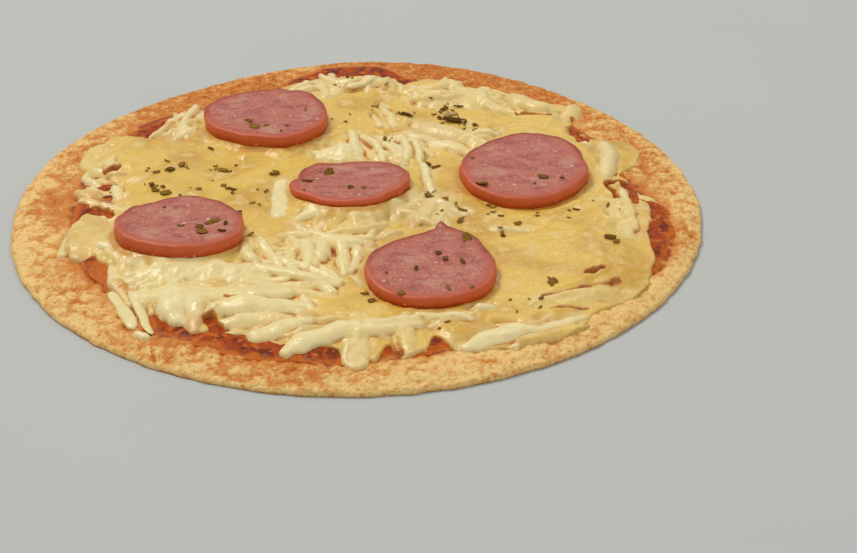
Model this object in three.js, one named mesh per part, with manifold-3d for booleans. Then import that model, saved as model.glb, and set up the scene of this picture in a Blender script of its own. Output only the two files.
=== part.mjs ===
// A cheese bread pizza: a thin round flatbread crust with tomato sauce, melted and shredded cheese,
// five slices of sausage and flakes of dried herb. Millimetres, +Z up, with the origin in the middle
// of the flat underside.
import * as THREE from "three";
import { mergeVertices } from "three/addons/utils/BufferGeometryUtils.js";
import Module from "manifold-3d";

const wasm = await Module();
wasm.setup();

const { degToRad, euclideanModulo, lerp, radToDeg, smoothstep, seededRandom } = THREE.MathUtils;
const FULL_TURN = 2 * Math.PI;

// Heights of the layers above the underside
const CRUST_TOP = 3.6;
const SAUCE_TOP = 4.3;
const MELT_TOP = 6.4;
const FITTING_GAP = 0.3;

// Outline of the crust: a hand-rolled circle, with [waves round the edge, swing, phase in degrees],
// and the height of its rim, which thins most on the near side
const CRUST_RADIUS = 110;
const CRUST_WAVES = [
  [3, 1.0, 121],
  [4, 0.9, 31],
  [5, 0.5, -42],
  [6, 0.25, -151],
];
const CRUST_EDGE_ROUND = 1.2;
const RIM_NEAR = 1.5;
const RIM_FAR = 2.8;
const RIM_RUN = 5.5;
const DIMPLE_DEPTH = 0.45;
const DIMPLE_SIZE = 12;
const DIMPLE_START = 0.2;

// Outline of the sauce, which shows past the cheese: [heading in degrees, radius], eased between them
const SAUCE_OUTLINE = [
  [-180, 91], [-152, 92], [-134, 92], [-127, 98], [-119, 95.5], [-113, 97.5], [-103, 96.5],
  [-95, 98.5], [-88, 96], [-60, 94], [-36, 96], [-27, 104], [-17, 102.5], [-6, 99],
  [2, 91], [15, 87], [27, 91], [60, 95], [78, 99], [90, 106], [101, 101], [107, 94], [113, 91.5],
  [124, 91], [131, 95], [138, 96], [160, 92],
];
const SAUCE_EDGE_RUN = 1.2;

// Outline of the melted cheese in the same form, with its thin edge and the swells of its top
const MELT_OUTLINE = [
  [-180, 84], [-176, 90], [-170, 91], [-163, 96], [-158, 88], [-151, 84.5], [-144, 87],
  [-134, 90], [-130.5, 89], [-128, 89], [-125, 89.5], [-123.5, 87], [-120.5, 91], [-118.5, 86],
  [-110, 88], [-104, 90], [-101, 94], [-96, 89], [-93, 97], [-88, 97], [-85, 90], [-81, 96],
  [-76, 90], [-72, 97], [-60, 103], [-36, 105], [-28, 102], [-20, 95], [-6, 94], [5, 89],
  [13, 95], [19, 100], [27, 89], [41, 102], [48, 96], [72, 95], [78, 91], [94, 98], [106, 92],
  [112, 89], [120, 89], [126, 88.5], [131, 93], [141, 86], [148, 98], [154, 98], [160, 94],
  [165, 86], [170, 80], [176, 80],
];
const MELT_EDGE = 0.9;
const MELT_EDGE_RUN = 12;
const MELT_SWELL = 0.35;
const MELT_SWELL_SIZE = 34;
const BED_SINK = 0.8;

// Holes where the sauce shows through the melt: middle, length, width and heading of each
const MELT_HOLES = [
  { x: 76, y: 51, length: 15, width: 3.4, heading: 94 },
  { x: 76.5, y: 40, length: 9, width: 4, heading: 112 },
  { x: 83.5, y: 6.5, length: 8, width: 2.4, heading: 36 },
  { x: 89, y: -2, length: 12, width: 2.6, heading: -84 },
  { x: 70, y: -53, length: 5, width: 3.4, heading: 40 },
  { x: -43, y: -75, length: 7, width: 3.6, heading: -64 },
  { x: -84.5, y: -2, length: 13, width: 3.6, heading: -35 },
];
const HOLE_SIDES = 8;
const HOLE_TAPER = 0.42;

// Slices of sausage: middle, height of the underside, how far the far side dips, the outline as
// [heading, radius], stretches of the edge that curl up as [heading, rise, spread], a fold in the
// face and flakes of herb as [x, y, length]
const SLICES = [
  {
    x: -32, y: 53, z: 6.4, radius: 21.8, thickness: 4.4, dip: 3,
    outline: [
      [-150, 18.5], [-122, 17.4], [-98, 18.5], [-62, 22], [30, 23], [55, 25], [84, 23], [156, 21.4],
      [180, 19],
    ],
    raised: [[10, 0.5, 50]],
    flakes: [[-4, -6, 3.6], [-2, -11, 3.6], [15, 2, 2.4], [9, -11, 2.4]],
  },
  {
    x: -56, y: -22.5, z: 6.7, radius: 19.8, thickness: 4.4, dip: 4.5,
    outline: [
      [-150, 20], [-107, 19], [-60, 21.5], [-32, 22.3], [-6, 20.4], [35, 18.7], [85, 20],
      [102, 18.8], [130, 16.5], [160, 18], [180, 19.6],
    ],
    raised: [[178, 1.4, 50], [150, 0.5, 22], [20, 0.3, 40]],
    fold: { from: [-11, -1], to: [0, -1], depth: 1.2, width: 3.6 },
    flakes: [[1, -3, 2.6], [7, -6, 2.6], [10, -3, 3.2], [8, -10, 3.2], [14, -9, 2.6], [-5, 10, 2.2]],
  },
  {
    x: -2, y: 3.8, z: 7.2, radius: 19, thickness: 2.5, dip: 7,
    outline: [
      [-165, 19.8], [-135, 18.4], [-45, 17.8], [-10, 19], [50, 19.3], [90, 17.4], [110, 16.8],
      [128, 18.8], [150, 18.8], [166, 17.8],
    ],
    raised: [[0, 1.6, 60], [128, 1.2, 30], [-150, 0.6, 30]],
    fold: { from: [-14, 5], to: [-7, 9], depth: 1.0, width: 2.2 },
    flakes: [[-7, 8, 5.0], [-14, 0, 3.8], [0, -7, 2.6]],
  },
  {
    x: 54, y: 11, z: 6.4, radius: 21.3, thickness: 4.4, dip: -2,
    outline: [
      [-170, 20.5], [-140, 21.3], [-92, 23], [-30, 21.4], [-16, 22], [5, 20.9], [50, 22.8],
      [80, 22], [113, 19.6], [135, 18.8], [160, 19.4],
    ],
    raised: [[170, 0.3, 50]],
    flakes: [[-14, -13, 4.4], [6, -10, 3.6], [12, -10, 2.8]],
  },
  {
    x: 21, y: -53, z: 6.5, radius: 19.8, thickness: 4.4, dip: -3.5,
    outline: [
      [-173, 19.4], [-135, 19.9], [-70, 19.3], [-34, 20.7], [20, 19.1], [56, 21], [71, 21.8],
      [79, 23.6], [84, 18.8], [95, 17.4], [117, 16.6], [136, 17.3], [165, 19],
    ],
    raised: [[79, 0.9, 8], [-10, 0.4, 40]],
    flakes: [[12, 12, 4.6], [5, 2, 2.4], [10, 0, 3.8], [3, 5, 2.4], [-4, -3, 2.4], [-9, -16, 2.4]],
  },
];
const SLICE_STEPS = 28;
const SLICE_TOP_ROUND = 1;
const SLICE_LOW_ROUND = 0.6;
const PAD_INSET = 1.5;
const PAD_FLARE = 2.5;
const PAD_SIDES = 16;

// Shreds of cheese side by side, from a first to a last one, each by both its ends as [x, y, x, y]
const SHRED_FANS = [
  { first: [-75, -53, -66, -75], count: 1, width: 4 },
  { first: [-68.5, -55, -60.5, -78.5], count: 1, width: 3.6 },
  { first: [-56, -56, -54, -72.5], count: 1, width: 9, flat: 0.36 },
  { first: [-49.5, -58, -48, -79], count: 1, width: 5.4, flat: 0.4 },
  { first: [-80, -28, -65, -43], count: 1, width: 5.4 },
  { first: [-66, -48, -28, -49], last: [-66, -58, -24, -60], count: 2, width: 11, flat: 0.24 },
  { first: [-42, -68, -17, -69], count: 1, width: 8.4, flat: 0.36 },
  { first: [-40, -75, -21, -75], count: 1, width: 6.6, flat: 0.36 },
  { first: [-35, -46, -8, -60], last: [-25, -43.5, -6, -56], count: 2, width: 5.2, flat: 0.42 },
  { first: [-19, -91, -2, -82], count: 1, width: 8, flat: 0.32 },
  { first: [-4, -83, 16, -80], count: 1, width: 6, flat: 0.36 },
  { first: [-1, -82, -1, -97], count: 1, width: 9, flat: 0.24 },
  { first: [30, -90.5, 48, -83.5], count: 1, width: 8.4, flat: 0.32 },
  { first: [42, -86, 65, -75.5], count: 1, width: 6, flat: 0.36 },
  { first: [17, -75, 31, -79], count: 1, width: 4.4 },
  { first: [-36, -31, -32, -43], last: [-29, -28, -24, -47], count: 2, width: 4.8 },
  { first: [-17, -31, -16, -46], last: [-1, -33, -3, -48], count: 4, width: 5, flat: 0.42 },
  { first: [-19, -16, -7, -18], count: 1, width: 6 },
  { first: [-14, -23, 2, -29], count: 1, width: 4.4 },
  { first: [-25, 13, -25, -11], count: 1, width: 5, flat: 0.4 },
  { first: [24, 0, 11, -16], last: [29, -4, 23, -19], count: 2, width: 6.2, flat: 0.3 },
  { first: [3, 43, 9, 24], last: [19, 39, 19, 24], count: 4, width: 3.2 },
  { first: [21, 51, 46, 34], last: [20, 43, 38, 30], count: 2, width: 7.4, flat: 0.34 },
  { first: [-11, 36, -3, 28], count: 1, width: 5.4 },
  { first: [22, 20, 24, 3], count: 1, width: 3.6 },
  { first: [24, 69, 50, 70], last: [21, 72, 47, 78], count: 2, width: 7.4, flat: 0.3 },
  { first: [45, 79, 55, 58], count: 1, width: 5.2 },
  { first: [22, 82, 37, 87], last: [33, 88, 46, 76], count: 2, width: 5.2 },
  { first: [56, 71, 69, 62], last: [77, 67, 72, 57], count: 2, width: 7, flat: 0.36 },
  { first: [12, 92, 10, 80], count: 1, width: 4.4 },
  { first: [-24, 85, -16, 90], count: 1, width: 5 },
  { first: [83, 32, 81, 12], count: 1, width: 6.6, flat: 0.42 },
  { first: [-60, 48, -57, 74], last: [-56, 50, -54, 66], count: 2, width: 4 },
  { first: [-86, 43, -86.5, 27], count: 1, width: 8, flat: 0.3 },
  { first: [-86, 20, -80, 17], count: 1, width: 4.6, flat: 0.4 },
  { first: [-91, 12, -81, 2], count: 1, width: 5.2, flat: 0.36 },
  { first: [-79, 14, -77, 6], count: 1, width: 4.4, flat: 0.4 },
  { first: [-88, -11, -92, -29], count: 1, width: 4.4, flat: 0.36 },
];
const SHRED_FLATNESS = 0.5;
const SHRED_BODY = 1.2;
const SHRED_CREST = 0.66;
const SHRED_LIFT = 0.3;
const SHRED_SIDES = 5;
const SHRED_STEPS = [0.07, 0.36, 0.64, 0.93];
const SHRED_TIP = 0.62;
const SHRED_STRAY = 0.8;
const SHRED_BOW = 0.06;
const SHRED_SHORTEST = 6;
const PATH_POINTS = 16;

// Dried herb: middle, reach along X and Y and number of flakes of each patch, and the size of one
const HERB_PATCHES = [
  { x: -57, y: 20, wide: 13, deep: 5, count: 8 },
  { x: -62, y: 9, wide: 5, deep: 3, count: 3 },
  { x: -42, y: 6, wide: 3, deep: 6, count: 3 },
  { x: 33, y: 58, wide: 9, deep: 8, count: 9 },
  { x: 12, y: 62, wide: 7, deep: 4, count: 2 },
  { x: 26, y: 10, wide: 4, deep: 12, count: 2 },
  { x: 38, y: -15, wide: 9, deep: 6, count: 4 },
  { x: 62, y: -18, wide: 12, deep: 5, count: 4 },
  { x: 52, y: -66, wide: 6, deep: 9, count: 2 },
  { x: -30, y: -4, wide: 5, deep: 5, count: 2 },
];
const FLAKE_LENGTH = 3;
const FLAKE_SLENDERNESS = 0.45;
const FLAKE_HEIGHT = 0.9;
const FLAKE_LIE = 0.1;
const FLAKE_TRIES = 60;

const RANDOM_SEED = 2026;
const OUTLINE_STEPS = 80;
const MELT_STEPS = 84;

seededRandom(RANDOM_SEED);
const spread = (amount) => (2 * seededRandom() - 1) * amount;

const FINISHES = {
  crust: new THREE.MeshStandardMaterial({ color: 0xdda468, roughness: 0.85 }),
  sauce: new THREE.MeshStandardMaterial({ color: 0x8d4419, roughness: 0.4 }),
  cheese: new THREE.MeshStandardMaterial({ color: 0xdbb972, roughness: 0.45 }),
  sausage: new THREE.MeshStandardMaterial({ color: 0xb27264, roughness: 0.5 }),
};

// A closed body of rings of points, from one middle point over the rings to another middle point.
function ringBody(first, rings, last, steps) {
  const points = [first];
  rings.forEach((ring) => {
    for (let i = 0; i < steps; i += 1) points.push(ring((i * FULL_TURN) / steps));
  });
  points.push(last);
  const at = (ring, i) => 1 + ring * steps + (i % steps);
  const faces = [];
  for (let i = 0; i < steps; i += 1) {
    faces.push(0, at(0, i), at(0, i + 1));
    for (let ring = 0; ring + 1 < rings.length; ring += 1) {
      faces.push(at(ring, i), at(ring + 1, i), at(ring + 1, i + 1));
      faces.push(at(ring, i), at(ring + 1, i + 1), at(ring, i + 1));
    }
    faces.push(points.length - 1, at(rings.length - 1, i + 1), at(rings.length - 1, i));
  }
  return new THREE.BufferGeometry()
    .setAttribute("position", new THREE.Float32BufferAttribute(points.flatMap((p) => p.toArray()), 3))
    .setIndex(faces);
}

// A three.js geometry as a solid for joining and cutting.
function solidOf(geometry) {
  const bare = geometry.clone();
  bare.deleteAttribute("normal");
  bare.deleteAttribute("uv");
  const merged = mergeVertices(bare);
  const mesh = new wasm.Mesh({
    numProp: 3,
    vertProperties: merged.attributes.position.array,
    triVerts: new Uint32Array(merged.index.array),
  });
  return new wasm.Manifold(mesh);
}

// The largest body of a solid as a named mesh.
function meshOf(name, solid, material) {
  const [body] = solid.decompose().sort((a, b) => b.volume() - a.volume());
  const { vertProperties, triVerts } = body.getMesh();
  const geometry = new THREE.BufferGeometry()
    .setAttribute("position", new THREE.BufferAttribute(vertProperties, 3))
    .setIndex(new THREE.BufferAttribute(triVerts, 1));
  geometry.computeVertexNormals();
  const mesh = new THREE.Mesh(geometry, material);
  mesh.name = name;
  return mesh;
}

const join = (solids) => solids.reduce((sum, solid) => sum.add(solid));
const polar = (angle, radius, z) => new THREE.Vector3(radius * Math.cos(angle), radius * Math.sin(angle), z);

// Radius of an outline at a heading, eased between its [heading in degrees, radius] points.
function outlineRadius(outline, angle) {
  const heading = euclideanModulo(radToDeg(angle) + 180, 360) - 180;
  const [first, last] = [outline[0], outline[outline.length - 1]];
  const closed = [[last[0] - 360, last[1]], ...outline, [first[0] + 360, first[1]]];
  const next = closed.findIndex(([at]) => at > heading);
  const [from, low] = closed[next - 1];
  const [to, high] = closed[next];
  return lerp(low, high, smoothstep(heading, from, to));
}

const crustRadius = (angle) =>
  CRUST_WAVES.reduce(
    (sum, [waves, swing, phase]) => sum + swing * Math.cos(waves * angle + degToRad(phase)),
    CRUST_RADIUS,
  );
const sauceRadius = (angle) => outlineRadius(SAUCE_OUTLINE, angle);
const meltRadius = (angle) => outlineRadius(MELT_OUTLINE, angle);

// A bell from 1 down to 0 over about twice the given width.
const bell = (away, width) => Math.exp(-((away / width) ** 2));

// An uneven surface between -1 and 1 with swells of about the given size.
function ripple(x, y, size) {
  let sum = 0;
  for (let k = 0; k < 3; k += 1) {
    const heading = 0.5 + 2.5 * k;
    const along = (x * Math.cos(heading) + y * Math.sin(heading)) / (size * (1 + 0.23 * k));
    sum += Math.cos(FULL_TURN * along + 1.7 * k);
  }
  return sum / 3;
}

// Height of the sauce or of the crust past it.
function groundHeight(x, y) {
  const over = sauceRadius(Math.atan2(y, x)) - Math.hypot(x, y);
  return lerp(CRUST_TOP, SAUCE_TOP, smoothstep(over, -1, SAUCE_EDGE_RUN));
}

// The ends of one shred of a fan.
function shredEnds(fan, i) {
  const part = fan.count > 1 ? i / (fan.count - 1) : 0;
  return fan.first.map((value, k) => lerp(value, (fan.last ?? fan.first)[k], part));
}

// Middle of each fan of shreds and how far it reaches.
const SHRED_BEDS = SHRED_FANS.map((fan) => {
  const [ax, ay, bx, by] = shredEnds(fan, (fan.count - 1) / 2);
  const [cx, cy] = shredEnds(fan, fan.count - 1);
  const across = 2 * Math.hypot(cx - ax, cy - ay);
  return { x: (ax + bx) / 2, y: (ay + by) / 2, reach: 0.5 * Math.hypot(bx - ax, by - ay, across) };
});

// Height of the melted cheese, lower where shreds lie on it and thin at its edge.
function meltHeight(x, y) {
  const sink = Math.max(...SHRED_BEDS.map((bed) => bell(Math.hypot(x - bed.x, y - bed.y), bed.reach)));
  const full = MELT_TOP + MELT_SWELL * ripple(x, y, MELT_SWELL_SIZE) - BED_SINK * sink;
  const inset = meltRadius(Math.atan2(y, x)) - Math.hypot(x, y);
  return lerp(groundHeight(x, y) + MELT_EDGE, full, smoothstep(inset, 0, MELT_EDGE_RUN));
}

const rimHeight = (angle) => lerp(RIM_NEAR, RIM_FAR, smoothstep(Math.sin(angle), -0.2, 0.6));

// The flatbread: flat under the sauce and the cheese, dimpled round them, thinner at its round edge.
function crustGeometry() {
  const band = (part) => (angle) => {
    const radius = lerp(sauceRadius(angle) + 1, crustRadius(angle) - CRUST_EDGE_ROUND, part);
    const { x, y } = polar(angle, radius, 0);
    const dimple = 0.5 * DIMPLE_DEPTH * (1 - ripple(x, y, DIMPLE_SIZE));
    const thin = 1 - smoothstep(crustRadius(angle) - radius, 0, RIM_RUN);
    const sink = lerp(dimple, CRUST_TOP - rimHeight(angle), thin);
    return polar(angle, radius, CRUST_TOP - sink * smoothstep(part, 0, DIMPLE_START));
  };
  const edge = (inset, rise) => (angle) =>
    polar(angle, crustRadius(angle) - inset * CRUST_EDGE_ROUND, rise * rimHeight(angle));
  const rings = [
    ...[0, 0.3, 0.6, 0.8, 1].map(band),
    edge(0.35, 0.86),
    edge(0, 0.55),
    edge(0.1, 0.25),
    edge(0.7, 0),
  ];
  return ringBody(polar(0, 0, CRUST_TOP), rings, polar(0, 0, 0), OUTLINE_STEPS);
}

// The layer of sauce, grown by a gap where it cuts the cheese.
function sauceGeometry(gap) {
  const ring = (inset, z) => (angle) => polar(angle, sauceRadius(angle) - inset + gap, z);
  const middle = lerp(CRUST_TOP, SAUCE_TOP, 0.4);
  const rings = [ring(SAUCE_EDGE_RUN, SAUCE_TOP), ring(0, middle), ring(0.4, CRUST_TOP)];
  return ringBody(polar(0, 0, SAUCE_TOP), rings, polar(0, 0, CRUST_TOP), OUTLINE_STEPS);
}

// The sheet of melted cheese, from the crust up; the sauce is cut out of it later.
function meltGeometry() {
  const at = (radiusAt, rise) => (angle) => {
    const radius = radiusAt(angle);
    const { x, y } = polar(angle, radius, 0);
    return polar(angle, radius, lerp(CRUST_TOP, meltHeight(x, y), rise));
  };
  const inner = (part) => at((angle) => part * (meltRadius(angle) - MELT_EDGE_RUN), 1);
  const edge = (inset, rise) => at((angle) => meltRadius(angle) - inset, rise);
  const rings = [
    ...[0.4, 0.75, 1].map(inner),
    edge(6, 1),
    edge(2.5, 1),
    edge(0.5, 1),
    edge(0, 0.4),
    edge(0.4, 0),
  ];
  return ringBody(polar(0, 0, meltHeight(0, 0)), rings, polar(0, 0, CRUST_TOP), MELT_STEPS);
}

// Distance from a place to the line between the ends of a fold.
function awayFromFold(x, y, fold) {
  const line = new THREE.Line3(new THREE.Vector3(...fold.from, 0), new THREE.Vector3(...fold.to, 0));
  const place = new THREE.Vector3(x, y, 0);
  return line.closestPointToPoint(place, true, new THREE.Vector3()).distanceTo(place);
}

// Height of a slice's cut face above its underside, at a place from the slice's middle.
function faceHeight(slice, x, y) {
  const angle = Math.atan2(y, x);
  const part = Math.hypot(x, y) / outlineRadius(slice.outline, angle);
  const curl = slice.raised.reduce((sum, [heading, rise, width]) => {
    const away = angle - degToRad(heading);
    return sum + rise * bell(Math.atan2(Math.sin(away), Math.cos(away)), degToRad(width));
  }, 0);
  const fold = slice.fold ? slice.fold.depth * bell(awayFromFold(x, y, slice.fold), slice.fold.width) : 0;
  return slice.thickness + curl * Math.min(part, 1) ** 3 - fold;
}

// Tips a geometry that is made round a slice's middle and moves it into place.
const placedOn = (slice, geometry) =>
  geometry.rotateX(degToRad(-slice.dip)).translate(slice.x, slice.y, slice.z);

// A slice of sausage, grown by a gap and reaching higher where it cuts the cheese.
function sliceGeometry(slice, gap = 0, extra = 0) {
  const ring = (inset, heightAt) => (angle) => {
    const radius = outlineRadius(slice.outline, angle) + gap - inset;
    const { x, y } = polar(angle, radius, 0);
    return polar(angle, radius, heightAt(faceHeight(slice, x, y) + extra));
  };
  const rings = [
    ring(12, (top) => top),
    ring(6, (top) => top),
    ring(SLICE_TOP_ROUND, (top) => top),
    ring(0.25 * SLICE_TOP_ROUND, (top) => top - 0.35 * SLICE_TOP_ROUND),
    ring(0, (top) => top - SLICE_TOP_ROUND),
    ring(0, () => SLICE_LOW_ROUND - gap),
    ring(SLICE_LOW_ROUND, () => -gap),
  ];
  const middle = polar(0, 0, faceHeight(slice, 0, 0) + extra);
  return placedOn(slice, ringBody(middle, rings, polar(0, 0, -gap), SLICE_STEPS));
}

// The swell of cheese that fills the space under a slice and flares out round it.
function padGeometry(slice) {
  const height = slice.z - SAUCE_TOP - FITTING_GAP;
  const [top, foot] = [slice.radius - PAD_INSET, slice.radius + PAD_FLARE];
  const pad = new THREE.CylinderGeometry(top, foot, height, PAD_SIDES)
    .rotateX(Math.PI / 2)
    .translate(0, 0, -FITTING_GAP - height / 2);
  return placedOn(slice, pad);
}

// A hole through the melt, as the oval post that cuts it.
function holeGeometry(hole) {
  return new THREE.CylinderGeometry(0.5, HOLE_TAPER, 2 * MELT_TOP, HOLE_SIDES)
    .rotateX(Math.PI / 2)
    .scale(hole.length, hole.width, 1)
    .rotateZ(degToRad(hole.heading))
    .translate(hole.x, hole.y, MELT_TOP);
}

const clearOfSlices = (x, y, room) =>
  SLICES.every((slice) => Math.hypot(x - slice.x, y - slice.y) > slice.radius + room);

// The part of a path that runs clear of the slices, or nothing where too little is left.
function clearPath(path, room) {
  const points = path.getSpacedPoints(PATH_POINTS);
  let best = [];
  let run = [];
  points.forEach((point) => {
    run = clearOfSlices(point.x, point.y, room) ? [...run, point] : [];
    if (run.length > best.length) best = run;
  });
  const long = best.length > 2 && best[0].distanceTo(best[best.length - 1]) > SHRED_SHORTEST;
  return long ? new THREE.CatmullRomCurve3(best) : null;
}

// One shred of cheese along a path: a soft strip with blunt ends, partly sunk in the melt.
function shredGeometry(path, width, flat, lift) {
  const height = SHRED_BODY * flat * width;
  const crest = SHRED_CREST * flat * width;
  const ring = (part) => (turn) => {
    const middle = path.getPointAt(part);
    const { x, y } = path.getTangentAt(part).setZ(0).normalize();
    const full = part > SHRED_STEPS[0] && part < SHRED_STEPS[SHRED_STEPS.length - 1] ? 1 : SHRED_TIP;
    const side = 0.5 * width * full * Math.cos(turn);
    const rise = 0.5 * height * full * Math.sin(turn);
    const bed = meltHeight(middle.x, middle.y) + crest - height / 2 + lift;
    return new THREE.Vector3(middle.x + y * side, middle.y - x * side, bed + rise);
  };
  const tip = (part) => ring(part)(0).lerp(ring(part)(Math.PI), 0.5);
  return ringBody(tip(0), SHRED_STEPS.map(ring), tip(1), SHRED_SIDES);
}

// The shreds of one fan, side by side with a little stray.
function fanShreds(fan) {
  const shreds = [];
  for (let i = 0; i < fan.count; i += 1) {
    const [ax, ay, bx, by] = shredEnds(fan, i).map((value) => value + spread(SHRED_STRAY));
    const start = new THREE.Vector3(ax, ay, 0);
    const end = new THREE.Vector3(bx, by, 0);
    const aside = new THREE.Vector3(ay - by, bx - ax, 0);
    const bend = start.clone().lerp(end, 0.5).addScaledVector(aside, spread(SHRED_BOW));
    const lift = SHRED_LIFT * (1 + spread(1));
    const curve = new THREE.QuadraticBezierCurve3(start, bend, end);
    const path = clearPath(curve, fan.width / 2 + FITTING_GAP);
    if (path) shreds.push(shredGeometry(path, fan.width, fan.flat ?? SHRED_FLATNESS, lift));
  }
  return shreds;
}

// A flake of dried herb lying at a place, with its middle at a height.
function flakeGeometry(x, y, z, length) {
  return new THREE.OctahedronGeometry(0.5)
    .scale(length, FLAKE_SLENDERNESS * length, FLAKE_HEIGHT)
    .rotateZ(spread(Math.PI))
    .translate(x, y, z);
}

// The flakes of one patch, clear of one another and of the slices.
function patchFlakes(patch) {
  const flakes = [];
  for (let i = 0; i < FLAKE_TRIES && flakes.length < patch.count; i += 1) {
    const x = patch.x + spread(patch.wide);
    const y = patch.y + spread(patch.deep);
    const apart = flakes.every((flake) => Math.hypot(flake.x - x, flake.y - y) > FLAKE_LENGTH);
    if (apart && clearOfSlices(x, y, FLAKE_LENGTH)) flakes.push({ x, y });
  }
  return flakes.map(({ x, y }) => flakeGeometry(x, y, meltHeight(x, y), FLAKE_LENGTH));
}

// The flakes that lie on a slice.
const sliceFlakes = (slice) =>
  slice.flakes.map(([x, y, length]) =>
    placedOn(slice, flakeGeometry(x, y, faceHeight(slice, x, y) + FLAKE_LIE, length)),
  );

// The melt with its shreds and flakes, cut to lie on the crust and the sauce and round the slices.
function cheeseSolid() {
  const pads = SLICES.map(padGeometry);
  const shreds = SHRED_FANS.flatMap(fanShreds);
  const flakes = HERB_PATCHES.flatMap(patchFlakes);
  const below = new THREE.BoxGeometry(2.5 * CRUST_RADIUS, 2.5 * CRUST_RADIUS, 2 * CRUST_TOP);
  const cutters = [
    below,
    sauceGeometry(FITTING_GAP),
    ...SLICES.map((slice) => sliceGeometry(slice, FITTING_GAP, MELT_TOP)),
    ...MELT_HOLES.map(holeGeometry),
  ];
  const heap = join([meltGeometry(), ...pads, ...shreds, ...flakes].map(solidOf));
  return heap.subtract(join(cutters.map(solidOf)));
}

const pizza = new THREE.Group();
pizza.add(meshOf("crust", solidOf(crustGeometry()), FINISHES.crust));
pizza.add(meshOf("sauce", solidOf(sauceGeometry(0)), FINISHES.sauce));
pizza.add(meshOf("cheese", cheeseSolid(), FINISHES.cheese));
SLICES.forEach((slice, i) => {
  const solid = join([sliceGeometry(slice), ...sliceFlakes(slice)].map(solidOf));
  pizza.add(meshOf(`sausage_slice_${i + 1}`, solid, FINISHES.sausage));
});

export default pizza;
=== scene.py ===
"""Looks of a whole cheese bread pizza: crust, sauce, cheese, sausage slices and dried herb.

Shapes are worked out in millimetres in the frame of the solids, with +Z up and the origin in the
middle of the flat underside, and become metres when a mesh is made.
"""

import logging
import math
from dataclasses import dataclass, field
from enum import Enum

import bpy
import numpy as np
from bpy.types import ID, Material, Node, NodeSocket, NodeTree, Object
from mathutils import Matrix, Vector


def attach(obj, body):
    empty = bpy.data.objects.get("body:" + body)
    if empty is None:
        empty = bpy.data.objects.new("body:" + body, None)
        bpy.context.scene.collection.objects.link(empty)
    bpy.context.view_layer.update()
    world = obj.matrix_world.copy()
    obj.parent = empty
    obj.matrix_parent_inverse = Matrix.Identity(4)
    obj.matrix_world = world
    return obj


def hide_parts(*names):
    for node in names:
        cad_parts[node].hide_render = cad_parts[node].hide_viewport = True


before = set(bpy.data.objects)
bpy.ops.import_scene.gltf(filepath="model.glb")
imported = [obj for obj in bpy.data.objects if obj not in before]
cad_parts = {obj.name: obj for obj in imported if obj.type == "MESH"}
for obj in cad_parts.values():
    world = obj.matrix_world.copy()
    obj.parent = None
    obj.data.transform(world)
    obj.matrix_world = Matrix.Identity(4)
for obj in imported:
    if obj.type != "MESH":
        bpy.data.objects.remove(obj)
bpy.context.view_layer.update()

LOG = logging.getLogger("pizza")
MM = 0.001
TURN = 2.0 * math.pi
Numbers = np.ndarray
Colour = tuple[int, int, int]
Ends = tuple[float, float, float, float]


class Slot(Enum):
    """Material slots of the record."""

    CRUST = "crust"
    SAUCE = "sauce"
    CHEESE = "cheese"
    SAUSAGE = "sausage"
    HERB = "herb"


class Mark(Enum):
    """What a mesh tells its material at each point, from 0 to 1."""

    # cream: how pale the cheese is, with a painted highlight on its crests
    CREAM_AND_HIGHLIGHT = "cream"
    # stain: sauce and oil stains and thin sauce, and painted shade under loose shreds, round the slices and
    # along their far rims
    STAIN = "stain"
    # toast: how toasted the crust is, with painted shade toward its far side and painted highlights on its
    # bumps
    TOAST_AND_SHADING = "toast"
    CASING = "casing"
    # shade: painted shade in the cheese's creases, darker toward the foot of a slice's wall, a herb flake's
    # own darkness
    SHADE = "shade"


@dataclass(frozen=True)
class Heights:
    """Heights of the layers above the underside, as in the solids."""

    crust: float = 3.6
    sauce: float = 4.3
    melt: float = 6.4
    rim_near: float = 1.5
    rim_far: float = 2.8


HEIGHTS = Heights()


# Outlines

@dataclass(frozen=True)
class Outline:
    """A closed outline round the origin.

    It runs smoothly through knots of (heading in degrees, radius), which go once round from near
    -180. waves holds (count round the edge, swing, phase in degrees).
    """

    knots: tuple[tuple[float, float], ...]
    waves: tuple[tuple[float, float, float], ...] = ()

    def at(self, angle: Numbers) -> Numbers:
        """Radius of the outline at each heading.

        Args:
            angle: headings in radians.

        Returns:
            The radius at each heading, in millimetres.
        """
        headings = np.array([knot[0] for knot in self.knots] + [self.knots[0][0] + 360])
        radii = np.array([knot[1] for knot in self.knots] + [self.knots[0][1]])
        turned = (np.degrees(angle) + 180) % 360 - 180
        after = np.clip(np.searchsorted(headings, turned, side="right"), 1, len(headings) - 1)
        low, high = headings[after - 1], headings[after]
        part = np.clip((turned - low) / (high - low), 0, 1)
        part = part * part * (3 - 2 * part)
        radius = radii[after - 1] * (1 - part) + radii[after] * part
        for count, swing, phase in self.waves:
            radius = radius + swing * np.cos(count * angle + math.radians(phase))
        return radius


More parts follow.
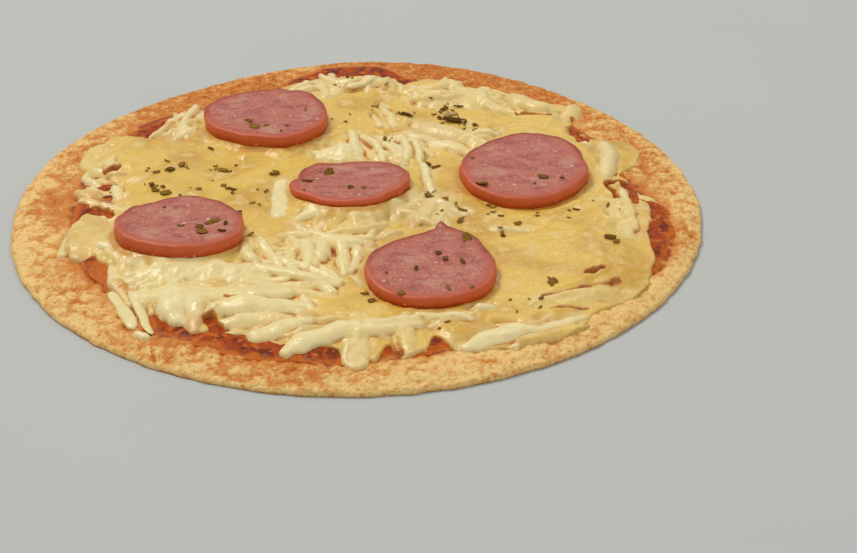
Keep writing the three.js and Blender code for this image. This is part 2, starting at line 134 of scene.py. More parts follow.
CRUST_OUTLINE = Outline(
    ((-180, 110.0),),
    waves=((3, 1.0, 121), (4, 0.9, 31), (5, 0.5, -42), (6, 0.25, -151)),
)
SAUCE_OUTLINE = Outline((
    (-180, 91), (-152, 92), (-134, 92), (-127, 98), (-119, 95.5), (-113, 97.5), (-103, 96.5),
    (-95, 98.5), (-88, 96), (-60, 94), (-36, 96), (-27, 104),
    (-17, 102.5), (-6, 99), (-2, 95), (2, 91), (9, 88.5), (15, 87), (27, 91), (60, 95), (78, 96.5),
    (86, 106), (94, 106), (101, 101), (107, 94), (113, 91.5), (124, 91), (131, 95), (138, 96), (160, 92),
))
MELT_OUTLINE = Outline((
    (-180, 84), (-176, 90), (-170, 91), (-163, 96), (-158, 88), (-151, 84.5), (-144, 87),
    (-134, 90), (-130.5, 89), (-128, 89), (-125, 89.5), (-123.5, 87), (-120.5, 91), (-118.5, 86),
    (-110, 88), (-104, 90), (-101, 94), (-97, 90), (-94.5, 90), (-93, 97), (-88, 97), (-85, 89),
    (-83, 96), (-79, 95), (-76, 89), (-73, 97), (-60, 103), (-48, 102), (-36, 105), (-28, 102),
    (-21, 97), (-13, 94), (-6, 94), (0, 91), (5, 89), (9, 88), (13, 95), (19, 100.5), (23, 99),
    (27, 89), (36, 92), (41, 102), (46, 97), (55, 94), (72, 95.5), (78, 91), (84, 96), (94, 98),
    (106, 92), (112, 89), (120, 89), (126, 88.5), (131, 93), (139, 86), (144, 86), (148, 98), (154, 98),
    (160, 94), (165, 86), (170, 80), (176, 80),
))


# Surfaces

class Grain:
    """Smooth seeded noise over a plane, between about -1 and 1."""

    CELLS = 128
    JITTER = 0.45
    SHIFT = (31.7, 17.3)

    def __init__(self, seed: int) -> None:
        """Draws the lattice of the noise."""
        draw = np.random.default_rng(seed)
        self.lattice = draw.uniform(-1.0, 1.0, (self.CELLS, self.CELLS))

    def at(self, x: Numbers, y: Numbers, size: float) -> Numbers:
        """One layer of noise.

        Args:
            x: places along X.
            y: places along Y.
            size: size of one swell, in millimetres.

        Returns:
            The noise at each place.
        """
        u, v = x / size, y / size
        column, row = np.floor(u).astype(int), np.floor(v).astype(int)
        s, t = u - column, v - row
        s = s * s * (3.0 - 2.0 * s)
        t = t * t * (3.0 - 2.0 * t)
        left, right = column % self.CELLS, (column + 1) % self.CELLS
        low, high = row % self.CELLS, (row + 1) % self.CELLS
        near = self.lattice[low, left] * (1 - s) + self.lattice[low, right] * s
        far = self.lattice[high, left] * (1 - s) + self.lattice[high, right] * s
        return near * (1 - t) + far * t

    def bumps(self, x: Numbers, y: Numbers, size: float) -> Numbers:
        """Rounded bumps scattered over the plane, from 0 between them to 1 on their tops.

        Args:
            x: places along X.
            y: places along Y.
            size: usual spacing of the bumps, in millimetres.

        Returns:
            The height at each place.
        """
        u, v = x / size, y / size
        column, row = np.floor(u).astype(int), np.floor(v).astype(int)
        nearest = np.full(np.shape(u), 9.0)
        for right in (-1, 0, 1):
            for up in (-1, 0, 1):
                i, j = column + right, row + up
                east = i + 0.5 + self.JITTER * self.lattice[j % self.CELLS, i % self.CELLS]
                north = j + 0.5 + self.JITTER * self.lattice[i % self.CELLS, (j + 61) % self.CELLS]
                nearest = np.minimum(nearest, np.hypot(u - east, v - north))
        return np.clip(1 - nearest**2 * 1.6, 0, 1)

    def layers(self, x: Numbers, y: Numbers, size: float, count: int = 3) -> Numbers:
        """Several layers of noise, each turned and half as large as the one before.

        Args:
            x: places along X.
            y: places along Y.
            size: size of a swell of the first layer, in millimetres.
            count: number of layers.

        Returns:
            The sum of the layers at each place.
        """
        total = np.zeros_like(np.asarray(x, dtype=float))
        for layer in range(count):
            turn = 0.6 + 1.1 * layer
            u = x * math.cos(turn) - y * math.sin(turn) + self.SHIFT[0] * layer
            v = x * math.sin(turn) + y * math.cos(turn) + self.SHIFT[1] * layer
            total = total + self.at(u, v, size / 2**layer) * 0.5**layer
        return total


def smooth(low: float, high: float, value: Numbers) -> Numbers:
    """Eases from 0 where a value is low to 1 where it is high; low may be above high."""
    part = np.clip((value - low) / (high - low), 0.0, 1.0)
    return part * part * (3.0 - 2.0 * part)


def bell(away: Numbers, width: float | Numbers) -> Numbers:
    """1 at no distance, easing to 0 beyond about two widths."""
    return np.exp(-((away / width) ** 2))


def spot(x: Numbers, y: Numbers, east: float, north: float, reach: float) -> Numbers:
    """1 at one place, easing to 0 beyond about two reaches from it."""
    return np.exp(-((x - east) ** 2 + (y - north) ** 2) / reach**2)


def around(angle: Numbers, reach: float | Numbers) -> tuple[Numbers, Numbers]:
    """Places at headings and distances from the origin."""
    return reach * np.cos(angle), reach * np.sin(angle)


def nearest_on_path(x: Numbers, y: Numbers, path: Numbers) -> tuple[Numbers, Numbers, Numbers]:
    """Distance of places from a path, and how far along it the nearest point lies.

    Args:
        x: places along X.
        y: places along Y.
        path: points of the path, one (x, y) in each row.

    Returns:
        The distances, the part of the path's length from 0 to 1, and the side: 1 is left, -1 right.
    """
    best = np.full(x.shape, np.inf)
    along = np.zeros(x.shape)
    side = np.ones(x.shape)
    steps = len(path) - 1
    for i in range(steps):
        start, run = path[i], path[i + 1] - path[i]
        length = max(float(run @ run), 1e-9)
        part = np.clip(((x - start[0]) * run[0] + (y - start[1]) * run[1]) / length, 0.0, 1.0)
        away = np.hypot(x - start[0] - part * run[0], y - start[1] - part * run[1])
        nearer = away < best
        best = np.where(nearer, away, best)
        along = np.where(nearer, (i + part) / steps, along)
        side = np.where(nearer, np.sign(run[0] * (y - start[1]) - run[1] * (x - start[0])), side)
    return best, along, side


def linked(name: str, data: ID) -> Object:
    """Makes an object of its mesh, light or camera and links it to the scene."""
    made = bpy.data.objects.new(name, data)
    bpy.context.scene.collection.objects.link(made)
    return made


def carrier(name: str, points: Numbers, edges: list[tuple[int, int]], values: dict[str, Numbers]) -> Object:
    """Makes an object of points that carry named numbers, for a Geometry Nodes tree to build on.

    Args:
        name: name of the object.
        points: the points, in millimetres.
        edges: the pairs of points that are joined.
        values: the numbers at the points, by name.

    Returns:
        The object.
    """
    mesh = bpy.data.meshes.new(name)
    mesh.from_pydata((points * MM).tolist(), edges, [])
    for key, column in values.items():
        mesh.attributes.new(key, "FLOAT", "POINT").data.foreach_set("value", column)
    return linked(name, mesh)


@dataclass
class Surface:
    """Points in millimetres with the faces between them and the marks at each point."""

    points: Numbers
    faces: list[tuple[int, ...]]
    marks: dict[Mark, Numbers] = field(default_factory=dict)

    def to_object(self, name: str, material: Material) -> Object:
        """Makes a smooth mesh object in metres.

        Args:
            name: name of the object.
            material: its finish.

        Returns:
            The object, linked to the scene.
        """
        mesh = bpy.data.meshes.new(name)
        mesh.from_pydata((self.points * MM).tolist(), [], self.faces)
        for mark, values in self.marks.items():
            layer = mesh.attributes.new(mark.value, "FLOAT", "POINT")
            layer.data.foreach_set("value", np.clip(values, 0.0, 1.0).astype(np.float32))
        mesh.polygons.foreach_set("use_smooth", [True] * len(mesh.polygons))
        mesh.materials.append(material)
        mesh.update()
        return linked(name, mesh)


class Rings:
    """Rings of points round the origin with their marks, added from the top down."""

    def __init__(self, steps: int) -> None:
        """Starts without a ring.

        Args:
            steps: number of points in a ring.
        """
        self.steps = steps
        self.angle = np.arange(steps) * TURN / steps
        self.rows: list[Numbers] = []
        self.marks: dict[Mark, list[Numbers]] = {}

    def add(self, reach: Numbers, height: Numbers, marks: dict[Mark, Numbers]) -> None:
        """Adds one ring.

        Args:
            reach: distance of its points from the origin.
            height: height of its points.
            marks: marks at its points.
        """
        self.rows.append(np.stack([*around(self.angle, reach), height], axis=-1))
        for mark, values in marks.items():
            self.marks.setdefault(mark, []).append(values)

    def closed(self, top: float, low: float) -> Surface:
        """Joins the rings to a closed surface.

        Args:
            top: height of the middle point that the first ring closes on.
            low: height of the middle point that the last ring closes on.

        Returns:
            The closed surface.
        """
        points = np.vstack([(0.0, 0.0, top), *self.rows, (0.0, 0.0, low)])
        end = len(points) - 1
        lowest = end - self.steps
        faces: list[tuple[int, ...]] = []
        for i in range(self.steps):
            after = (i + 1) % self.steps
            faces.append((0, 1 + i, 1 + after))
            for a in range(1, lowest, self.steps):
                b = a + self.steps
                faces.append((a + i, b + i, b + after, a + after))
            faces.append((end, lowest + after, lowest + i))
        spread = {}
        for mark, rows in self.marks.items():
            spread[mark] = np.concatenate([[rows[0].mean()], *rows, [rows[-1].mean()]])
        return Surface(points, faces, spread)


# Node trees

class Tree:
    """A node tree that one method adds nodes to."""

    def __init__(self, nodes: NodeTree) -> None:
        """Keeps an empty shader or geometry node tree."""
        self.nodes = nodes

    def add(self, kind: str, settings: dict | None = None, **inputs: object) -> Node:
        """Adds one node.

        Args:
            kind: type of the node.
            settings: properties of the node, which are set first.
            inputs: values or links of its sockets, by socket name with _ for a space, or by _NUMBER.

        Returns:
            The node.
        """
        node = self.nodes.nodes.new(kind)
        for name, value in (settings or {}).items():
            setattr(node, name, value)
        for name, value in inputs.items():
            if name[0] == "_":
                socket = node.inputs[int(name[1:])]
            else:
                socket = node.inputs[name.replace("_", " ")]
            self.feed(socket, value)
        return node

    def term(self, output: int | str, kind: str, settings: dict | None = None, **inputs: object) -> "Term":
        """Adds one node, as add does, and takes an output of it as a term."""
        return Term(self, self.add(kind, settings, **inputs).outputs[output])

    def feed(self, socket: NodeSocket, value: object) -> None:
        """Links a socket to another one, or sets its value.

        Args:
            socket: the input.
            value: a Term, an output socket or a plain value.
        """
        if isinstance(value, Term):
            value = value.socket
        if isinstance(value, NodeSocket):
            self.nodes.links.new(value, socket)
        else:
            socket.default_value = value


class Term:
    """A value of a node tree that takes part in sums, products and powers."""

    def __init__(self, tree: Tree, socket: NodeSocket) -> None:
        """Wraps an output of a node of the tree."""
        self.tree = tree
        self.socket = socket

    def maths(self, operation: str, left: object, right: object, clamp: bool = False) -> "Term":
        """Adds one Math node; clamp keeps its result between 0 and 1."""
        settings = {"operation": operation, "use_clamp": clamp}
        return self.tree.term(0, "ShaderNodeMath", settings, _0=left, _1=right)

    def __add__(self, other: object) -> "Term":
        """Sum."""
        return self.maths("ADD", self, other)

    def __radd__(self, other: object) -> "Term":
        """Sum with the value on the right."""
        return self.maths("ADD", other, self)

    def __sub__(self, other: object) -> "Term":
        """Difference."""
        return self.maths("SUBTRACT", self, other)

    def __rsub__(self, other: object) -> "Term":
        """Difference with the value on the right."""
        return self.maths("SUBTRACT", other, self)

    def __mul__(self, other: object) -> "Term":
        """Product."""
        return self.maths("MULTIPLY", self, other)

    def __rmul__(self, other: object) -> "Term":
        """Product with the value on the right."""
        return self.maths("MULTIPLY", other, self)

    def __truediv__(self, other: object) -> "Term":
        """Quotient."""
        return self.maths("DIVIDE", self, other)

    def __pow__(self, other: object) -> "Term":
        """Power."""
        return self.maths("POWER", self, other)

    def held(self) -> "Term":
        """The value, kept between 0 and 1."""
        return self.maths("ADD", self, 0.0, clamp=True)

    def least(self, other: object) -> "Term":
        """The lower of two values."""
        return self.maths("MINIMUM", self, other)

    def eased(self, low: float, high: float) -> "Term":
        """Eases from 0 at low to 1 at high."""
        settings = {"interpolation_type": "SMOOTHSTEP"}
        return self.tree.term(0, "ShaderNodeMapRange", settings, _0=self, _1=low, _2=high, _3=0.0, _4=1.0)


def paint(colour: Colour) -> tuple[float, float, float, float]:
    """Turns a display colour into a linear one.

    Args:
        colour: its red, green and blue parts, from 0 to 255.

    Returns:
        The linear colour with full alpha.
    """
    linear = []
    for part in colour:
        level = part / 255
        linear.append(level / 12.92 if level <= 0.04045 else ((level + 0.055) / 1.055) ** 2.4)
    return (*linear, 1.0)


class Shading(Tree):
    """A material's tree with the nodes that food finishes share."""

    def __init__(self, name: str) -> None:
        """Makes an empty material.

        Args:
            name: name of the material.
        """
        self.material = bpy.data.materials.new(name)
        self.material.use_nodes = True
        self.material.node_tree.nodes.clear()
        super().__init__(self.material.node_tree)
        self.place = self.add("ShaderNodeTexCoord").outputs["Object"]

    def noise(self, size: float, detail: float = 2.0, stretch: Vector | None = None) -> Term:
        """Noise over the piece, from 0 to 1 and mostly near 0.5.

        Args:
            size: size of one swell, in millimetres.
            detail: number of finer layers.
            stretch: how many times longer the swells are along each axis.

        Returns:
            The noise.
        """
        place = self.place
        if stretch is not None:
            scale = (1 / stretch.x, 1 / stretch.y, 1 / stretch.z)
            place = self.add("ShaderNodeMapping", Vector=place, Scale=scale).outputs[0]
        return self.term("Fac", "ShaderNodeTexNoise", Vector=place, Scale=1 / (size * MM), Detail=detail)

    def specks(self, size: float) -> Term:
        """Distance to the nearest of scattered points, where one size is the usual spacing."""
        return self.term("Distance", "ShaderNodeTexVoronoi", Vector=self.place, Scale=1 / (size * MM))

    def mark(self, mark: Mark) -> Term:
        """A mark of the mesh."""
        return self.term("Fac", "ShaderNodeAttribute", {"attribute_name": mark.value})

    def mix(self, part: object, low: object, high: object) -> NodeSocket:
        """Mixes two colours, each a socket or a display colour, by a part from 0 to 1."""
        low, high = (paint(end) if isinstance(end, tuple) else end for end in (low, high))
        return self.add("ShaderNodeMix", {"data_type": "RGBA"}, _0=part, _6=low, _7=high).outputs[2]

    def bump(self, height: Term, depth: float, strength: float = 1.0) -> NodeSocket:
        """The shader's normal over a relief from 0 to 1, with its depth in millimetres."""
        return self.add("ShaderNodeBump", Height=height, Distance=depth * MM, Strength=strength).outputs[0]

    def finish(self, **inputs: object) -> Material:
        """Adds the surface shader.

        Args:
            inputs: values or links of its sockets, by name with _ for a space.

        Returns:
            The finished material.
        """
        shader = self.add("ShaderNodeBsdfPrincipled", **inputs)
        self.add("ShaderNodeOutputMaterial", Surface=shader.outputs[0])
        return self.material


# Finishes

@dataclass(frozen=True)
class CrustFinish:
    """Dry baked flatbread with toasted patches, painted highlights and shade, and a stain beside the sauce.
    """

    pale: Colour = (245, 204, 130)
    tan: Colour = (220, 154, 74)
    orange: Colour = (208, 118, 36)
    brown: Colour = (154, 82, 26)
    stain: Colour = (214, 128, 46)
    soaked: Colour = (160, 72, 18)

    def material(self) -> Material:
        """Makes the material.

        Returns:
            The material.
        """
        tree = Shading("flatbread_crust")
        middle = tree.noise(4.0)
        fine = tree.noise(1.5, 3.0)
        grain = tree.noise(0.9)
        toast = tree.mark(Mark.TOAST_AND_SHADING) + (middle - 0.5) * 1.1 + (fine - 0.5) * 1.4 + (grain - 0.5) * 0.9
        colour = tree.mix(toast.eased(-0.15, 0.6), self.pale, self.tan)
        colour = tree.mix(toast.eased(0.35, 1.0), colour, self.orange)
        colour = tree.mix(toast.eased(0.95, 1.45) * 0.8, colour, self.brown)
        scorch = tree.noise(2.6, 4.0).eased(0.6, 0.7) * tree.noise(11.0).eased(0.46, 0.6)
        colour = tree.mix(scorch * 0.4, colour, self.brown)
        # pale blisters, painted also as highlights on the crust
        blister_and_highlight = (1.0 - tree.specks(1.7)).eased(0.55, 0.9) * middle.eased(0.6, 0.42)
        colour = tree.mix(blister_and_highlight * 0.7, colour, self.pale)
        stain = (tree.mark(Mark.STAIN) * (0.5 + middle * 1.0)).held()
        colour = tree.mix(stain.eased(0.1, 0.8) * (0.55 + fine * 0.7), colour, self.stain)
        colour = tree.mix(stain.eased(0.7, 0.95), colour, self.soaked)
        relief = (middle * 0.2 + fine * 0.5 + grain * 0.3 + blister_and_highlight * 0.06).held()
        return tree.finish(
            Base_Color=colour,
            Roughness=(0.58 - stain * 0.2).held(),
            Normal=tree.bump(relief, 1.0, 1.2),
            Specular_IOR_Level=0.22,
        )


@dataclass(frozen=True)
class SauceFinish:
    """Moist tomato sauce with bits of pulp."""

    red: Colour = (168, 66, 6)
    dark: Colour = (114, 38, 2)
    orange: Colour = (206, 106, 28)

    def material(self) -> Material:
        """Makes the material.

        Returns:
            The material.
        """
        tree = Shading("tomato_sauce")
        pulp = tree.noise(3.0, 4.0)
        colour = tree.mix(pulp.eased(0.38, 0.55), self.dark, self.red)
        colour = tree.mix(tree.noise(2.4, 3.0).eased(0.52, 0.66) * 0.8, colour, self.orange)
        thin = (tree.mark(Mark.STAIN) * (0.5 + pulp)).eased(0.35, 0.95)
        colour = tree.mix(thin * 0.85, colour, self.orange)
        return tree.finish(
            Base_Color=colour,
            Roughness=(0.16 + pulp * 0.6).held(),
            Normal=tree.bump(tree.noise(1.6, 4.0), 0.5, 0.8),
            Specular_IOR_Level=0.12,
        )


@dataclass(frozen=True)
class CheeseFinish:
    """Melted cheese, yellow where run, cream on shreds; painted highlights on crests, painted shade and oil
    in creases.
    """

    yellow: Colour = (232, 192, 88)
    deep: Colour = (212, 164, 64)
    pale: Colour = (236, 206, 128)
    cream: Colour = (242, 224, 164)
    crease_shade: Colour = (176, 134, 54)
    ochre: Colour = (212, 148, 62)
    stain: Colour = (170, 88, 28)

    def material(self) -> Material:
        """Makes the material.

        Returns:
            The material.
        """
        tree = Shading("melted_cheese")
        broad = tree.noise(14.0)
        middle = tree.noise(3.6)
        melt = tree.mix(broad.eased(0.42, 0.64), self.yellow, self.deep)
        melt = tree.mix(tree.noise(7.0, 3.0).eased(0.52, 0.72) * 0.8, melt, self.pale)
        # the cream mark holds the shreds' paleness and a painted highlight on crests
        cream = (tree.mark(Mark.CREAM_AND_HIGHLIGHT) + (middle - 0.5) * 0.4).held()
        colour = tree.mix(cream, melt, self.cream)
        # painted shade: amber darkening in the cheese's creases
        colour = tree.mix((tree.mark(Mark.SHADE) * 0.9).held(), colour, self.crease_shade)
        stain = (tree.mark(Mark.STAIN) * (0.7 + middle * 0.6)).held()
        colour = tree.mix(stain.eased(0.0, 0.5), colour, self.ochre)
        colour = tree.mix(stain.eased(0.4, 0.95), colour, self.stain)
        return tree.finish(
            Base_Color=colour,
            Roughness=(0.06 + middle * 0.5).held(),
            Normal=tree.bump(tree.noise(1.6, 4.0), 0.28, 0.7),
            Specular_IOR_Level=0.4,
            Subsurface_Weight=0.25,
            Subsurface_Radius=(1.0, 0.75, 0.35),
            Subsurface_Scale=0.0012,
        )


@dataclass(frozen=True)
class SausageFinish:
    """Cut face of a cooked sausage, mottled pink, in a redder casing."""

    meat: Colour = (188, 102, 82)
    mauve: Colour = (154, 68, 62)
    light: Colour = (200, 148, 122)
    fat: Colour = (234, 190, 162)
    blush: Colour = (188, 82, 52)
    line: Colour = (116, 34, 18)
    edge: Colour = (206, 98, 64)
    casing: Colour = (212, 98, 48)
    base: Colour = (192, 76, 18)

    def face(self, tree: Shading, fine: Term) -> NodeSocket:
        """Mottles the cut face.

        Args:
            tree: the material's tree.
            fine: fine noise over the slice.

        Returns:
            The colour of the face.
        """
        streak = tree.noise(3.4, 5.0, Vector((1.8, 1.0, 1.0)))
        colour = tree.mix(streak.eased(0.46, 0.66) * 0.7, self.meat, self.mauve)
        pale = (tree.noise(9.0, 3.0) + (0.5 - streak) * 0.6).eased(0.5, 0.72)
        colour = tree.mix(pale * 0.6, colour, self.light)
        colour = tree.mix(fine.eased(0.54, 0.64) * 0.65, colour, self.light)
        colour = tree.mix((1.0 - fine).eased(0.56, 0.7) * 0.6, colour, self.mauve)
        flecks = (1.0 - tree.specks(4.6)).eased(0.82, 0.9) * streak.eased(0.45, 0.6)
        return tree.mix(flecks * 0.8, colour, self.fat)

    def material(self) -> Material:
        """Makes the material.

        Returns:
            The material.
        """
        tree = Shading("sausage_meat")
        fine = tree.noise(0.9, 4.0)
        patchy = tree.noise(2.4, 3.0)
        casing = tree.mark(Mark.CASING)
        shade = tree.mark(Mark.SHADE) + (patchy - 0.5) * 0.6
        wall = tree.mix(shade.eased(0.0, 0.26), self.edge, self.casing)
        wall = tree.mix(shade.eased(0.3, 0.95), wall, self.base)
        crumbs = (1.0 - tree.specks(2.2)).eased(0.74, 0.86) * shade.eased(0.5, 0.8) * patchy.eased(0.5, 0.6)
        wall = tree.mix(crumbs * 0.7, wall, self.fat)
        blush = (casing * (0.4 + patchy * 1.2)).held()
        colour = tree.mix(blush, self.face(tree, fine), self.blush)
        colour = tree.mix(casing.eased(0.75, 0.98), colour, wall)
        # painted shade: a dark line along the slices' far rims
        line = (tree.mark(Mark.STAIN) * (0.1 + patchy)).held()
        colour = tree.mix(line, colour, self.line)
        return tree.finish(
            Base_Color=colour,
            Roughness=(0.22 + fine * 0.5).held(),
            Normal=tree.bump(fine, 0.25, 0.7),
            Specular_IOR_Level=0.42,
            Subsurface_Weight=0.12,
            Subsurface_Radius=(1.0, 0.45, 0.3),
            Subsurface_Scale=0.001,
        )


@dataclass(frozen=True)
class HerbFinish:
    """Dried herb, from olive to nearly black."""

    olive: Colour = (152, 112, 40)
    dark: Colour = (84, 54, 14)
    straw: Colour = (190, 160, 110)

    def material(self) -> Material:
        """Makes the material.

        Returns:
            The material.
        """
        tree = Shading("dried_herb")
        shade = tree.mark(Mark.SHADE)
        fine = tree.noise(0.8)
        colour = tree.mix((shade + (fine - 0.5) * 0.6).held(), self.olive, self.dark)
        colour = tree.mix(shade.eased(0.14, 0.02), colour, self.straw)
        return tree.finish(
            Base_Color=colour,
            Roughness=0.8,
            Normal=tree.bump(tree.noise(0.6), 0.15, 0.6),
            Specular_IOR_Level=0.1,
        )


@dataclass(frozen=True)
class FloorFinish:
    """Plain pale floor."""

    grey: Colour = (190, 192, 187)

    def material(self) -> Material:
        """Makes the material.

        Returns:
            The material.
        """
        tree = Shading("pale_floor")
        paler = tuple(part + 3 for part in self.grey)
        colour = tree.mix(tree.noise(60.0), self.grey, paler)
        return tree.finish(Base_Color=colour, Roughness=0.9, Specular_IOR_Level=0.1)


# Sausage

@dataclass(frozen=True)
class Slice:
    """One slice: its place as in the solids, its form and the flakes on it.

    raised holds (heading, rise, spread) of stretches of the edge that curl up. From the slice's
    middle, groove is an (x, y, x, y, depth, width) fold in its face and flakes holds (x, y, length).
    """

    node: str
    x: float
    y: float
    z: float
    radius: float
    thickness: float
    dip: float
    outline: Outline
    raised: tuple[tuple[float, float, float], ...] = ()
    groove: tuple[float, float, float, float, float, float] | None = None
    flakes: tuple[tuple[float, float, float], ...] = ()

    STEPS = 200
    FACE_RINGS = 32
    GRAIN_SIZE = 5.0
    GRAIN_DEPTH = 0.16
    TOP_ROUND = 1.0
    LOW_ROUND = 0.6
    BULGE = 0.22
    BULGE_SIZE = 3.5
    BULGE_SEED = 5
    SKIN = 3.4
    BLUSH = 0.75
    FAR_RIM_SHADE_WIDTH = 0.8

    def placed(self, points: Numbers) -> Numbers:
        """Turns and moves points from the slice's own frame into the pizza's.

        Args:
            points: points with the middle of the slice's underside as their origin.

        Returns:
            The points in place.
        """
        dip = math.radians(-self.dip)
        y = points[..., 1] * math.cos(dip) - points[..., 2] * math.sin(dip)
        z = points[..., 1] * math.sin(dip) + points[..., 2] * math.cos(dip)
        return np.stack([points[..., 0] + self.x, y + self.y, z + self.z], axis=-1)

    def under(self, x: Numbers, y: Numbers) -> Numbers:
        """Height of the underside at places."""
        return self.z - (y - self.y) * math.tan(math.radians(self.dip))

    def lifted(self, angle: Numbers, part: Numbers) -> Numbers:
        """How far the slice curls up.

        Args:
            angle: headings of places on it.
            part: distance of the places from its middle, as a part of its radius there.

        Returns:
            The rise at each place.
        """
        rise = np.zeros_like(angle)
        for heading, height, spread in self.raised:
            away = angle - math.radians(heading)
            rise = rise + height * bell(np.arctan2(np.sin(away), np.cos(away)), math.radians(spread))
        return rise * np.clip(part, 0, 1) ** 3

    def face_height(self, x: Numbers, y: Numbers) -> Numbers:
        """Height of the cut face above the underside.

        Args:
            x: places along X, from the slice's middle.
            y: places along Y, from the slice's middle.

        Returns:
            The height at each place.
        """
        angle = np.arctan2(y, x)
        grain = Grain(int(abs(self.x) * 7 + abs(self.y)))
        height = self.thickness + self.lifted(angle, np.hypot(x, y) / self.outline.at(angle))
        height = height + self.GRAIN_DEPTH * grain.layers(x, y, self.GRAIN_SIZE)
        if self.groove is not None:
            *ends, depth, width = self.groove
            away, _, _ = nearest_on_path(x, y, np.array(ends).reshape(2, 2))
            height = height - depth * bell(away, width)
        return height

    def profile(self, top: Numbers) -> list[tuple[float, Numbers]]:
        """Side of the slice from the rim of its face down to its underside.

        Args:
            top: height of the face's rim at each heading.

        Returns:
            How far in from the edge each ring lies, and its height at each heading.
        """
        rings: list[tuple[float, Numbers]] = []
        for turn in np.radians((72, 54, 36, 18, 0)):
            inset = self.TOP_ROUND * (1 - math.cos(turn))
            rings.append((inset, top - self.TOP_ROUND * (1 - math.sin(turn))))
        start = top - self.TOP_ROUND
        for part in (0.25, 0.5, 0.75):
            rings.append((-self.BULGE * math.sin(part * math.pi), start + (self.LOW_ROUND - start) * part))
        for turn in np.radians((0, -30, -60, -90)):
            low = np.full_like(top, self.LOW_ROUND * (1 + math.sin(turn)))
            rings.append((self.LOW_ROUND * (1 - math.cos(turn)), low))
        return rings

    def make(self, material: Material) -> Object:
        """Makes the slice in place of its solid.

        Args:
            material: the sausage finish.

        Returns:
            The piece.
        """
        rings = Rings(self.STEPS)
        angle = rings.angle
        edge = self.outline.at(angle)
        inner = edge - self.TOP_ROUND
        # painted shade along the far rim only, carried by the stain mark
        far = smooth(-0.25, 0.35, np.sin(angle))
        none, full = np.zeros(self.STEPS), np.ones(self.STEPS)
        for part in np.linspace(0.03, 1.0, self.FACE_RINGS):
            reach = part * inner
            top = self.face_height(*around(angle, reach))
            casing = self.BLUSH * smooth(self.SKIN, 0.2, edge - reach - self.TOP_ROUND)
            line = far * bell(inner * (1 - part), self.FAR_RIM_SHADE_WIDTH)
            rings.add(reach, top, {Mark.CASING: casing, Mark.SHADE: none, Mark.STAIN: line})
        bumps = Grain(self.BULGE_SEED).layers(angle * self.radius, full * self.x, self.BULGE_SIZE, 2)
        for inset, height in self.profile(top):
            reach = edge - inset + self.BULGE * bumps
            shade = np.clip((top - height) / (top - self.LOW_ROUND), 0, 1)
            line = far * smooth(0.5, 0.1, shade)
            rings.add(reach, height, {Mark.CASING: full, Mark.SHADE: shade, Mark.STAIN: line})
        rings.add(0.5 * reach, height, {Mark.CASING: full, Mark.SHADE: full, Mark.STAIN: none})
        surface = rings.closed(float(self.face_height(np.zeros(1), np.zeros(1))[0]), 0.0)
        surface.points = self.placed(surface.points)
        piece = surface.to_object(self.node + "_meat", material)
        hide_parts(self.node)
        return dress(piece)


